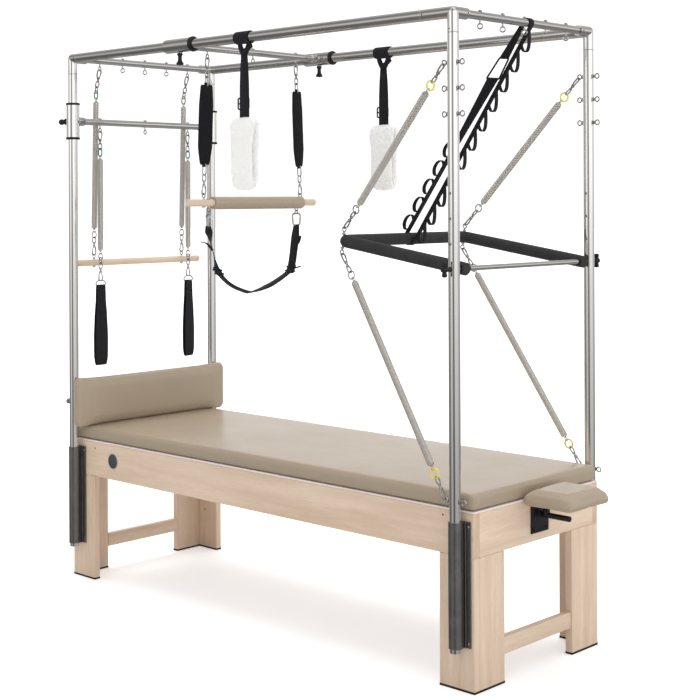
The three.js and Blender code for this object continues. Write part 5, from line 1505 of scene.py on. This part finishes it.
def makeHandLoops():
    size = handLoops
    x = size["x"]
    for side, sign in sides:
        y = sign * size["eyeY"]
        eye, low = at(x, y, size["eyeZ"]), at(x, y, size["springLow"])
        shape = Shape()
        spots = chain(shape, hookSeat(eye, low - eye), low, axisY, ["snap", "green", "coil", "plain"])
        a, b = spots["coil"]
        placePiece(
            f"handSpring_{side}", shape, f"hand_chain_{side}", [f"hand_spring_{side}"], 50,
            (f"hand_grip_{side}", a.lerp(b, 0.04), a.lerp(b, 0.96)),
        )
        shape = Shape()
        addSnap(shape, at(x, y, size["springLow"] + chains["wire"]), at(x, y, size["buckleTop"]), axisY, -1)
        frameLine = [
            at(x, y + a, size["buckleZ"] + b)
            for a, b in ((-24, -8), (24, -8), (25, 2), (14, 12), (-14, 12), (-25, 2))
        ]
        shape.add(wire(softened(frameLine, 6, 4), 2.8, 8, True, axisX), "steelSmall")
        height = size["strapTop"] - size["strapLow"]
        half = size["depth"] / 2 - 2
        across, ahead = (axisY, axisX) if sign < 0 else (at(-0.2, 0.98, 0), at(0.98, 0.2, 0))
        sideLine = [(0.55, 0.012), (0.75, 0.06), (0.92, 0.2), (1, 0.5), (1, 0.8), (0.86, 0.95), (0.4, 0.995)]
        shares = [(0, 0), *((-a, b) for a, b in sideLine), (0, 1), *reversed(sideLine)]
        path = smoothLine([at(x, y, size["strapTop"] - b * height) + ahead * a * half for a, b in shares], 6, True)
        grows = []
        for p in path:
            share = (size["strapTop"] - p.z) / height
            pad = min(max((share - 0.46) / 0.06, 0), 1)
            grows.append((valueAt(size["taper"], share), 0.75 + 0.55 * pad))
        shape.add(sweep(path, padSection(size["width"], 3.6, 28, 5), across, True, grows), "webbing")
        for z, depth, wide in size["tacks"]:
            tack(shape, at(x, y, z), across * wide, ahead, half * depth + 2.2)
        piece = placePiece(f"handLoop_{side}", shape, f"hand_grip_{side}", [f"hand_loop_{side}"], 50)


makeHandLoops()
print("head springs, roll bar and hand loops made")


# Trapeze, its pad and the sling below it
trapeze = {
    "x": -326, "eyeZ": 2127.5, "eyeY": 240, "barEyeY": 262, "barEyeZ": 1586, "barZ": 1558, "half": 343, "radius": 14,
    "strapTop": 2018, "strapLow": 1706, "strapWidth": 56, "strapThickness": 14, "padStart": -215, "padEnd": 268,
    "padRadius": 24.5,
}


def makeTrapeze():
    size = trapeze
    x = size["x"]
    barShape = Shape()
    for side, sign in sides:
        eye, low = at(x, sign * size["eyeY"], size["eyeZ"]), at(x, sign * size["barEyeY"], size["barEyeZ"])
        way = (low - eye).normalized()
        top = eye + way * ((size["strapTop"] - eye.z) / way.z)
        bottom = eye + way * ((size["strapLow"] - eye.z) / way.z)
        shape = Shape()
        addSnap(shape, hookSeat(eye, way), top + way * 2, axisY, 1)
        chain(shape, bottom - way * 4, hookSeat(low, -way), axisX, ["stretched", "snapBack"])
        across = axisX.cross(way).normalized()
        if sign < 0:
            across = (across * 0.8 - axisX * 0.6 * math.copysign(1, -across.y)).normalized()
        out = way.cross(across).normalized()
        length = (bottom - top).length
        count = 72
        path = [top.lerp(bottom, i / count) for i in range(count + 1)]
        grows = []
        for i in range(count + 1):
            share = i / count
            near = min(share, 1 - share) * length
            rounding = min(near / 9, 1) ** 0.5
            uneven = 0.02 * noise.noise(Vector((share * 9, sign, 0)))
            puff = 0.93 + 0.07 * abs(math.sin(share * math.pi * 6)) + uneven
            taper = 0.84 + 0.16 * min(share / 0.25, 1) - 0.36 * max((share - 0.76) / 0.24, 0) ** 1.3
            grows.append((taper * (0.93 + 0.07 * min(near / 6, 1)), (0.3 + 0.7 * rounding) * puff))
        shape.add(
            sweep(path, padSection(size["strapWidth"], size["strapThickness"], 32, 2.9), across, False, grows),
            "paddedCloth",
        )
        for face in (-1, 1):
            for edge in (-1, 1):
                lift = out * face * 5.3
                stitches(
                    shape, top + way * 70 + lift + across * edge * 23, bottom - way * 80 + lift + across * edge * 23,
                    out * face, 4.6, 3, 0.8,
                )
        for tab in ([top - way * 9, top, top + way * 12], [bottom + way * 8, bottom, bottom - way * 12]):
            shape.add(sweep(tab, bandSection(20, 5.2), across), "webbing")
        piece = placePiece(f"trapezeStrap_{side}", shape, "trapeze", [f"trapeze_strap_{side}"], 50)
        for z, turn in ((size["barEyeZ"], -1), (2 * size["barZ"] - size["barEyeZ"], 1)):
            y = sign * (size["barEyeY"] if turn < 0 else size["eyeY"])
            eyebolts(barShape, at(x, y, z), axisZ * turn, axisY, 28, 28 + 14.1)
    barShape.add(
        bar(at(x, -size["half"], size["barZ"]), at(x, size["half"], size["barZ"]), size["radius"], 1.6, 40),
        "woodAcross",
    )
    placePiece("trapezeBar", barShape, "trapeze", ["trapeze_bar"], 50)
    start, stop, outer = size["padStart"], size["padEnd"], size["padRadius"]
    count = 110
    path = [at(x, start + (stop - start) * i / count, size["barZ"]) for i in range(count + 1)]
    grows = []
    for i, p in enumerate(path):
        near = min(i, count - i) / count * (stop - start)
        uneven = 0.012 * noise.noise(Vector((p.y * 0.02, 3, 1)))
        grow = 0.965 + 0.035 * min(near / 5, 1) ** 0.5 + uneven + 0.004 * math.sin(p.y * 0.35)
        grows.append((grow, grow))
    shape = Shape().add(sweep(path, circleSection(outer, 56), axisX, False, grows), "vinylDeep")
    seam = [p + axisZ * -(outer + 0.1) * g[0] + axisX * 2 for p, g in zip(path, grows)]
    shape.add(wire(seam, 1.0, 6), "vinylDeep")
    stitches(shape, seam[3] + axisX * 3, seam[-4] + axisX * 3, -axisZ, 5, 3.2, 0.7, "vinylThread")
    for spot, way in ((start, -1), (stop, 1)):
        shape.add(
            turned(
                at(x, spot, size["barZ"]), axisY * way, [(-1, 23.6), (0.6, 23), (1.0, 18), (0.5, 14.2), (-1, 14.2)],
                48, True,
            ),
            "vinylDeep",
        )
    piece = placePiece("trapezePad", shape, "trapeze", ["trapeze_pad"], 50)


makeTrapeze()
sling = {
    "x": -326, "top": 1466, "drop": 267, "span": 480, "width": 45, "thickness": 4, "eyeY": 240, "eyeZ": 1530,
    "shares": (
        (-0.5, 0), (-0.485, 0.16), (-0.43, 0.48), (-0.385, 0.69), (-0.25, 0.88), (-0.07, 0.995), (0.02, 0.99),
        (0.2, 0.9), (0.4, 0.73), (0.44, 0.62), (0.475, 0.3), (0.5, 0),
    ),
    "tails": ((0.15, -12, -18, 26, -24, -40, 34), (0.9, 9, 15, 14, 12, 24, 42), (0.79, 10, 16, 2, 22, 34, 8)),
    "buckles": (0.27, 0.775), "turn": ((0, 0), (0.06, 0), (0.12, -0.7), (0.17, -0.7), (0.25, -0.2), (0.4, 0), (1, 0)),
    "twist": (
        (0, 0), (0.22, 0), (0.33, -0.07), (0.48, 0.22), (0.54, 0.1), (0.62, -0.08), (0.7, 0.08), (0.76, 0.2),
        (0.82, 0), (1, 0),
    ),
}


def makeSling():
    size = sling
    x = size["x"]
    shape = Shape()
    points = [at(x, a * size["span"], size["top"] - b * size["drop"]) for a, b in size["shares"]]
    path = smoothLine(points, 10)
    across = []
    total = len(path) - 1
    for i, p in enumerate(path):
        turn = valueAt(size["turn"], i / total)
        twist = valueAt(size["twist"], i / total) + 0.03 * noise.noise(p * 0.012)
        across.append((axisX * math.cos(turn) + axisY * math.sin(turn) + axisZ * twist).normalized())
    grows = [
        (0.72 + 0.28 * min(min(i, total - i) / 6, 1) + 0.05 * noise.noise(p * 0.02), 1)
        for i, p in enumerate(path)
    ]
    shape.add(sweep(path, bandSection(size["width"], 3.2, 3), across, False, grows), "webbing")
    for share in size["buckles"]:
        index = int(share * total)
        spot, way = path[index], (path[index + 1] - path[index - 1]).normalized()
        flat = (across[index] - way * across[index].dot(way)).normalized()
        up = way.cross(flat)
        shape.add(
            sweep(
                [spot + way * s for s in (-19, -6, 6, 19)], padSection(50, 9, 24, 4), flat, False,
                [(0.94, 0.7), (1, 1), (1, 1), (0.94, 0.7)],
            ),
            "webbing",
        )
        for shift in (-9, 9):
            line = [
                spot + way * shift + flat * a + up * b
                for a, b in ((-27, -5.5), (27, -5.5), (27, 5.5), (-27, 5.5))
            ]
            shape.add(wire(softened(line, 3, 3), 2.4, 8, True, way), "blackPlastic")
    for index, *steps in size["tails"]:
        anchor = path[int(index * total)]
        line = smoothLine([anchor, anchor + at(*steps[:3]), anchor + at(*steps[3:])], 8)
        shape.add(sweep(line, bandSection(16, 2.6, 3), axisX), "webbing")
    for sign in (-1, 1):
        y = sign * size["eyeY"]
        side = (at(0.95, -0.31, 0), at(0.73, 0.68, 0))[sign > 0]
        out = side.cross(axisZ)
        ring = at(x, y, size["eyeZ"] - chains["seat"] - 7)
        shape.add(wire(ovalPath(ring, axisZ, axisY, 15, 15), 2.2, 8, True, axisX), "steelSmall")
        high, low = size["eyeZ"] - 17.6, size["top"] - 3
        corners = [at(x, y, z) + side * a for a, z in ((-17, high), (17, high), (13, low), (-13, low))]
        shape.add(wire(softened(corners, 12, 6), 3.4, 10, True, out), "steelSmall")
        shape.add(
            sweep([at(x, y, low - 9), at(x, y, low - 3), at(x, y, low + 4)], bandSection(30, 9, 4), axisX), "webbing",
        )
        for rise in (-14, -19):
            tack(shape, at(x, y, low + rise), axisX * 14, axisY, 3.4)
    placePiece("sling", shape, "sling", ["trapeze_sling"], 50)


makeSling()
print("trapeze and sling made")


# Fleece loops on their straps, choked round the long rails
fleeceLoops = {
    "x": 40, "top": 1868, "height": 263, "depth": 60, "thickness": 30, "width": 128, "choker": 76, "strapWidth": 50,
    "buckleZ": 1921, "tacks": (2078, 2070, 1886, 1880), "curl": (0.11, 1.7), "tuft": (0.16, 0.9),
    "wave": (0.025, 1.4), "levels": ((2100, 33), (2080, 37), (2040, 44), (1990, 49), (1930, 51), (1862, 51)),
    "shares": ((0, 0), (0.3, 0.0), (0.75, 0.06), (1, 0.25), (0.99, 0.6), (0.95, 0.82), (0.6, 0.97), (0.2, 1)),
}


def makeFleeceLoops():
    size = fleeceLoops
    x = size["x"]
    for side, sign in sides:
        y = sign * canopy["postY"]
        half = size["depth"] / 2 - size["thickness"] / 2
        tall = size["height"] - size["thickness"]
        high = size["top"] - size["thickness"] / 2
        right = size["shares"][1:]
        ringLine = [*right, *((-a, b) for a, b in reversed(right))]
        path = smoothLine([at(x, y + a * half, high - b * tall) for a, b in ringLine], 16, True)
        section = padSection(size["width"], size["thickness"], 84, 2.5)
        grows = []
        for p in path:
            share = (size["top"] - p.z) / size["height"]
            waist = min(max(share - 0.06, 0) / 0.42, 1)
            ends = max(1 - min(share, 1 - share) / 0.09, 0)
            grows.append((1.0 - 0.17 * waist * waist * (3 - 2 * waist) - 0.16 * ends ** 1.6, 1))
        part = sweep(path, section, axisX, True, grows)
        points = []
        count = len(section)
        for i, p in enumerate(part[0]):
            centre = path[i // count]
            out = p - centre
            flatOut = Vector((out.x * 0.15, out.y, out.z))
            way = flatOut.normalized() if flatOut.length > 0.1 else out.normalized()
            (curl, curlHeight), (tuft, tuftHeight), (wave, waveHeight) = size["curl"], size["tuft"], size["wave"]
            pile = noise.fractal(p * curl, 0.7, 2.1, 3) * curlHeight + noise.cell(p * tuft) * tuftHeight
            points.append(p + way * (pile + noise.noise(p * wave) * waveHeight))
        shape = Shape().add((points, part[1], part[2]), "fleece")
        rail, reach = at(x, y, canopy["railZ"]), axisX * size["choker"] / 2
        shape.add(tube(rail - reach, rail + reach, 23.6, 19.35, 1.2, 56), "webbing")
        line = [at(x, y, z) for z, _ in size["levels"]]
        grows = [(w / size["strapWidth"], 1) for _, w in size["levels"]]
        shape.add(sweep(line, bandSection(size["strapWidth"], 4.6, 3), axisX, False, grows), "webbing")
        for way, lean in ((-1, 3), (1, -2)):
            strand = [
                at(x + way * a, y + lean, z)
                for a, z in ((27, 2146), (25, 2132), (16, 2114), (6, 2098), (2, 2084))
            ]
            shape.add(sweep(smoothLine(strand, 6), bandSection(24, 4.4, 3), axisX), "webbing")
        wrapKnot = [
            at(x + a, y + b, z)
            for a, b, z in (
                (-17, 4, 2096), (-8, -7, 2101), (10, -8, 2109), (26, -3, 2122), (33, 3, 2134), (24, 7, 2139),
                (12, 7, 2124),
            )
        ]
        shape.add(sweep(smoothLine(wrapKnot, 6), bandSection(20, 3.6, 3), axisZ), "webbing")
        buckle = [at(x + a, y + 3.5, size["buckleZ"] + b) for a, b in ((-38, -20), (20, -20), (20, 20), (-38, 20))]
        shape.add(wire(softened(buckle, 6, 4), 3.0, 10, True, axisY), "blackPlastic")
        shape.add(
            wire([at(x - 37, y + 4.5, size["buckleZ"]), at(x + 19, y + 4.5, size["buckleZ"])], 2.8, 10),
            "blackPlastic",
        )
        for z in size["tacks"]:
            tack(shape, at(x, y, z), axisX * 15, axisY, 2.6)
        piece = placePiece(f"fleeceLoop_{side}", shape, f"fleece_loop_{side}", [f"fur_loop_{side}"], 60)


makeFleeceLoops()
print("fleece loops made")


# Safety strap: looped webbing between the foot crossbar and the push-through bar
safetyStrap = {
    "y": 21, "width": 25, "thickness": 3, "topBore": 14.3, "lowBore": 21.8, "loopLength": 62, "loopWidth": 19,
    "margin": 24, "rearShift": 12, "pitchShare": 0.0884, "frontLoops": 11, "rearLoops": 5, "connectorStart": 150,
    "connectorEnd": 232, "lean": 0.38,
    "hanging": ((0.0, 0), (0.2, 0.3), (0.5, 0.72), (0.78, 1), (1.0, 1.02), (1.1, 0.72), (1.02, 0.3), (0.9, 0)),
    "hangingBulge": 31,
    "standing": ((0.12, 0), (0.0, 0.35), (0.06, 0.8), (0.34, 1.05), (0.68, 1.0), (0.92, 0.66), (0.95, 0.3), (0.84, 0)),
    "standingBulge": 30,
}


def makeSafetyStrap():
    size = safetyStrap
    top, low = at(canopy["postX"], size["y"], canopy["railZ"]), at(pushBar["crossX"], size["y"], pushBar["crossZ"])
    length = (low - top).length
    along = (low - top).normalized()
    out = axisY.cross(along)
    slope = math.asin((size["lowBore"] - size["topBore"]) / length)
    run = length * math.cos(slope)
    frontTurn = 1 if out.x > 0 else -1

    def onRun(turn, s, rise):
        lift = size["topBore"] + size["thickness"] / 2 + rise
        u = s * math.cos(slope) - lift * math.sin(slope)
        v = turn * (s * math.sin(slope) + lift * math.cos(slope))
        return top + along * u + out * v

    def around(centre, radius, startTurn):
        points = []
        for k in range(1, 16):
            turn = math.pi * k / 16
            reach = -math.sin(turn) if centre is top else math.sin(turn)
            points.append(centre + along * reach * radius + out * startTurn * math.cos(turn) * radius)
        return points

    rear = -frontTurn
    half = size["thickness"] / 2
    path = [onRun(rear, size["connectorEnd"] + 1, 0)]
    path += [onRun(rear, size["connectorEnd"] + (run - size["connectorEnd"]) * k / 20, 0) for k in range(1, 21)]
    path += around(low, size["lowBore"] + half, rear)
    path += [onRun(frontTurn, run * (1 - k / 30), 0) for k in range(31)]
    path += around(top, size["topBore"] + half, frontTurn)
    path += [onRun(rear, size["connectorStart"] * k / 8, 0) for k in range(9)]
    across, grows = [], []
    for i in range(len(path)):
        below, above = max(1 - i / 11, 0), max((i - len(path) + 9) / 8, 0)
        turn = size["lean"] * max(below, above)
        across.append(axisY * math.cos(turn) + axisX * math.sin(turn))
        grows.append((1 + 0.8 * below + 0.5 * above, 1))
    shape = Shape().add(
        sweep(path, bandSection(size["width"], size["thickness"], 3), across, False, grows), "webbing",
    )
    pitch = size["pitchShare"] * run
    for turn, loops, name, shift in (
        (frontTurn, size["frontLoops"], "hanging", 0), (rear, size["rearLoops"], "standing", size["rearShift"]),
    ):
        for i in range(loops):
            foot = run - size["margin"] - size["loopLength"] - i * pitch + shift
            wobble = 1 + 0.06 * noise.noise(Vector((i * 1.7, turn, 0)))
            line = [
                onRun(turn, foot + a * size["loopLength"], b * size[name + "Bulge"] * wobble + 2.4)
                for a, b in size[name]
            ]
            if name == "hanging":
                line = [onRun(turn, foot - 10, 2.4)] + line + [onRun(turn, foot + 0.72 * size["loopLength"], 2.4)]
            shape.add(sweep(smoothLine(line, 5), bandSection(size["loopWidth"], 2.6, 3), axisY), "webbing")
            spot = onRun(turn, foot - 5, 4.0)
            stitches(shape, spot - axisY * 8, spot + axisY * 8, out * turn, 3.2, 2.4, 0.8)
    near, far = size["connectorStart"], size["connectorEnd"]
    leaning = axisY * math.cos(size["lean"]) + axisX * math.sin(size["lean"])
    corners = [
        onRun(rear, s, 0) + leaning * w
        for s, w in ((near - 2, -18), (near - 2, 18), (far + 2, 25), (far + 2, -25))
    ]
    shape.add(wire(softened(corners, 7, 4), 3.3, 10, True, out), "blackPlastic")
    for s, w in ((near - 2, 15), (far + 2, 20)):
        shape.add(wire([onRun(rear, s, 0) - leaning * w, onRun(rear, s, 0) + leaning * w], 4.6, 12), "webbing")
    placePiece("safetyStrap", shape, rootBody, ["safety_strap"], 50, ("push_frame", top, low))


makeSafetyStrap()
print("safety strap made")


# Upholstery: a rounded box whose faces are gridded finely near the edges
upholstery = {
    "mattress": {
        "halfA": 1073.5, "halfB": 346.5, "thickness": 59.7, "crown": 6.7, "corner": 20, "edge": 17, "tuck": 3,
        "base": (0, 0, 577.3),
    },
    "cushion": {
        "halfA": 403, "halfB": 104, "thickness": 48, "crown": 6, "corner": 26, "edge": 13, "tuck": 2,
        "base": (-1003.7, 0, 731.5),
    },
    "endPad": {
        "halfA": 102.5, "halfB": 120, "thickness": 53.7, "crown": 24, "slope": 36, "corner": 26, "edge": 14,
        "tuck": 2, "base": (1183, 0, 563.3),
    },
}


def gridLines(half, edge, pitch):
    near = [0, edge * 0.22, edge * 0.45, edge * 0.7, edge, edge * 1.35, edge * 2]
    inner = half - edge * 2
    count = max(int(2 * inner / pitch), 2)
    middle = [-inner + 2 * inner * i / count for i in range(1, count)]
    return [-half + n for n in near] + middle + [half - n for n in reversed(near)]


def padPart(centre, u, v, w, size, pitch=12, seed=0):
    halfA, halfB, edge, corner = size["halfA"], size["halfB"], size["edge"], size["corner"]
    flat = size["thickness"] - size["crown"]
    halfC = flat / 2
    levels = gridLines(halfC, min(edge, halfC * 0.45), 6)
    lines = [gridLines(halfA, edge, pitch), gridLines(halfB, edge, pitch), levels]
    points, found, faces = [], {}, []

    def index(a, b, c):
        key = (round(a, 3), round(b, 3), round(c, 3))
        if key in found:
            return found[key]
        x, y = a, b
        innerA, innerB = halfA - corner, halfB - corner
        overA, overB = abs(x) - innerA, abs(y) - innerB
        if overA > 0 and overB > 0:
            reach = math.hypot(overA, overB)
            limit = corner - edge
            scale = min(1, limit / reach)
            coreX = math.copysign(innerA + overA * scale, x)
            coreY = math.copysign(innerB + overB * scale, y)
        else:
            coreX = math.copysign(min(abs(x), halfA - edge), x)
            coreY = math.copysign(min(abs(y), halfB - edge), y)
        rim = min(edge, halfC * 0.9)
        coreZ = math.copysign(min(abs(c), halfC - rim), c)
        way = Vector(((x - coreX), (y - coreY), (c - coreZ) * edge / rim))
        side = math.hypot(way.x, way.y) / edge
        if way.length > 1e-6:
            way.normalize()
        spot = Vector((coreX + way.x * edge, coreY + way.y * edge, coreZ + way.z * rim))
        shareA, shareB = min(abs(spot.x) / halfA, 1), min(abs(spot.y) / halfB, 1)
        upper = max(spot.z / halfC, 0)
        swell = ((1 - shareA ** 6) * (1 - shareB ** 4)) ** 0.7
        if "slope" in size:
            rise = min(max(min(halfA - abs(spot.x), halfB - abs(spot.y)) / size["slope"], 0), 1)
            swell = 0.75 * rise + 0.25 * rise * rise * (3 - 2 * rise)
        spot.z += size["crown"] * swell * upper
        pull = size["tuck"]
        if abs(spot.y) > halfB - 1.5 * edge:
            spot.y -= math.copysign(pull * (1 - shareA ** 8) * min(side, 1) * 0.8, spot.y)
        if abs(spot.x) > halfA - 1.5 * edge:
            spot.x -= math.copysign(pull * (1 - shareB ** 8) * min(side, 1) * 0.8, spot.x)
        ripple = noise.noise(Vector((spot.x * 0.006, spot.y * 0.008, seed))) * 0.9 * upper * swell
        pucker = noise.noise(Vector((spot.x * 0.035, spot.y * 0.035, seed + 5))) * 0.6 * (1 - swell) * upper
        spot.z += ripple + pucker
        found[key] = len(points)
        points.append(centre + u * spot.x + v * spot.y + w * (spot.z + halfC))
        return found[key]

    def face(fixed, value, first, second):
        for i in range(len(lines[first]) - 1):
            for j in range(len(lines[second]) - 1):
                corners = []
                for di, dj in ((0, 0), (1, 0), (1, 1), (0, 1)):
                    place = [0, 0, 0]
                    place[fixed], place[first], place[second] = value, lines[first][i + di], lines[second][j + dj]
                    corners.append(index(*place))
                if len(set(corners)) > 2:
                    faces.append(list(dict.fromkeys(corners)))

    for fixed, first, second in ((0, 1, 2), (1, 2, 0), (2, 0, 1)):
        for value in (lines[fixed][0], lines[fixed][-1]):
            face(fixed, value, first, second)
    return points, faces


# A rounded outline at some height of a pad, for its welts and stitches
def padRim(centre, u, v, w, size, inset, rise, steps=8):
    halfA, halfB = size["halfA"] - inset, size["halfB"] - inset
    radius = max(size["corner"] - inset, 2)
    path = []
    for quarter, (signA, signB) in enumerate(((1, 1), (-1, 1), (-1, -1), (1, -1))):
        for k in range(steps + 1):
            turn = (quarter + k / steps) * math.pi / 2
            a = signA * (halfA - radius) + radius * math.cos(turn)
            b = signB * (halfB - radius) + radius * math.sin(turn)
            path.append((a, b))
    full = []
    for i, (a, b) in enumerate(path):
        c, d = path[(i + 1) % len(path)]
        count = max(int(math.hypot(c - a, d - b) / 24), 1)
        full += [(a + (c - a) * k / count, b + (d - b) * k / count) for k in range(count)]
    line = []
    for a, b in full:
        shareA, shareB = min(abs(a) / halfA, 1), min(abs(b) / halfB, 1)
        if abs(b) > halfB - 2:
            b -= math.copysign(size["tuck"] * 0.8 * (1 - shareA ** 8), b)
        if abs(a) > halfA - 2:
            a -= math.copysign(size["tuck"] * 0.8 * (1 - shareB ** 8), a)
        line.append(centre + u * a + v * b + w * rise)
    return line


# Cloth blown up a little over a starting shape, each point held near its start
clothSettings = {"frames": 20, "pressure": 4.0, "stretching": 25, "bending": 2, "inwardShare": 0.2}


def swollen(part, voxel, cap):
    mesh = bpy.data.meshes.new("cover")
    mesh.from_pydata([p / 1000 for p in part[0]], [], part[1])
    cover = linked("cover", mesh)
    remesh = cover.modifiers.new("even", "REMESH")
    remesh.mode, remesh.voxel_size = "VOXEL", voxel / 1000
    mesh = finalMesh(cover)
    cover.modifiers.clear()
    cover.data = mesh
    before = [v.co.copy() for v in mesh.vertices]
    cloth = cover.modifiers.new("cloth", "CLOTH")
    given, frames = cloth.settings, clothSettings["frames"]
    given.use_pressure, given.uniform_pressure_force = True, clothSettings["pressure"]
    given.effector_weights.gravity = 0
    given.tension_stiffness = given.compression_stiffness = clothSettings["stretching"]
    given.bending_stiffness = clothSettings["bending"]
    cloth.point_cache.frame_start, cloth.point_cache.frame_end = 1, frames
    for number in range(1, frames + 1):
        scene.frame_set(number)
    made = finalMesh(cover)
    points = []
    centre = sum(before, Vector()) / len(before)
    for start, vertex in zip(before, made.vertices):
        move = vertex.co - start
        if move.dot(start - centre) < 0:
            move *= clothSettings["inwardShare"]
        if move.length > cap / 1000:
            move = move.normalized() * cap / 1000
        points.append((start + move) * 1000)
    faces = [list(face.vertices) for face in made.polygons]
    cover.modifiers.clear()
    bpy.data.objects.remove(cover)
    scene.frame_set(1)
    return points, faces


# A seam line laid down on a finished cover
def laidOn(part, line):
    cover = BVHTree.FromPolygons(part[0], part[1])
    return [cover.find_nearest(p)[0] for p in line]


def makeUpholstery():
    size = upholstery["mattress"]
    base = at(*size["base"])
    shape = Shape().add(padPart(base, axisX, axisY, axisZ, size, 14, 2), "vinylPale")
    for inset, rise in ((3.6, 41), (2.6, 8)):
        shape.add(wire(padRim(base, axisX, axisY, axisZ, size, inset, rise), 1.0, 6, True), "vinylDeep")
    piece = placePiece("mattress", shape, rootBody, ["mattress"], 60)
    size = upholstery["cushion"]
    base = at(*size["base"])
    start = dict(size, halfA=size["halfA"] - 0.5, halfB=size["halfB"] - 0.5, thickness=size["thickness"] - 4)
    part = swollen(padPart(base + axisX * 2, axisY, axisZ, axisX, start, 12, 7), 6, 5)
    shape = Shape().add(part, "vinylDeep")
    for rise in (29, 7):
        seam = laidOn(part, padRim(base, axisY, axisZ, axisX, size, 1.4, rise))
        shape.add(wire(seam, 1.1, 6, True), "vinylDeep")
    for sign in (-1, 1):
        cap = at(-1042.3, sign * canopy["postY"], 731)
        shape.add(bar(cap + axisX * 45, cap, 5, 0.2, 20), "steelSmall")
        shape.add(
            turned(
                cap, -axisX, [(0, 5), (0, 11.6), (1, 12), (3, 12), (4, 10.6), (22, 11), (23.4, 10), (24, 8), (24, 0)],
                32,
            ),
            "capMetal",
        )
    piece = placePiece("headCushion", shape, rootBody, ["head_cushion"], 60)
    size = upholstery["endPad"]
    base = at(*size["base"])
    start = dict(size, halfA=size["halfA"] - 2, halfB=size["halfB"] - 2, thickness=size["thickness"] - 3)
    part = swollen(padPart(base + axisZ * 1, axisX, axisY, axisZ, start, 8, 11), 4, 3)
    shape = Shape().add(part, "vinylPale")
    shape.add(wire(laidOn(part, padRim(base, axisX, axisY, axisZ, size, 1.2, 8)), 1.0, 6, True), "vinylDeep")
    piece = placePiece("endPad", shape, rootBody, ["end_pad"], 60)


makeUpholstery()
endBracket = {
    "face": 1073.8, "plate": 6, "halfY": 47.5, "low": 457, "top": 549, "barZ": 517, "reach": 1198.8, "radius": 9.4,
    "standX": 1103.8, "standRadius": 12, "padZ": 563,
}


def makeEndBracket():
    size = endBracket
    face, barZ, standX, padZ = size["face"], size["barZ"], size["standX"], size["padZ"]
    outer, half = face + size["plate"], size["halfY"]
    shape = Shape()
    for part in (
        boardPart(*span(face, outer, -half, half, size["low"], size["top"]), 1.4),
        bar(at(face + 2, 0, barZ), at(size["reach"], 0, barZ), size["radius"], 1.2, 36),
        turned(at(outer, 0, barZ), axisX, [(-1, 13), (0.5, 12.6), (3, 10.6), (5, 9.4), (5, 8)], 36),
        bar(at(standX, 0, barZ), at(standX, 0, padZ), size["standRadius"], 0.8, 36),
        boardPart(*span(standX - 22, standX + 62, -42, 42, padZ - 3.4, padZ + 0.2), 0.8),
    ):
        shape.add(part, "blackPlastic")
    for y in (-34, 34):
        for z in (size["low"] + 13, size["top"] - 13):
            screws(shape, at(outer, y, z), axisX, 4.8, 2.6, finish="blackPlastic")
    placePiece("endBracket", shape, rootBody, ["end_pad_bracket"], 40)


makeEndBracket()
print("upholstery made")
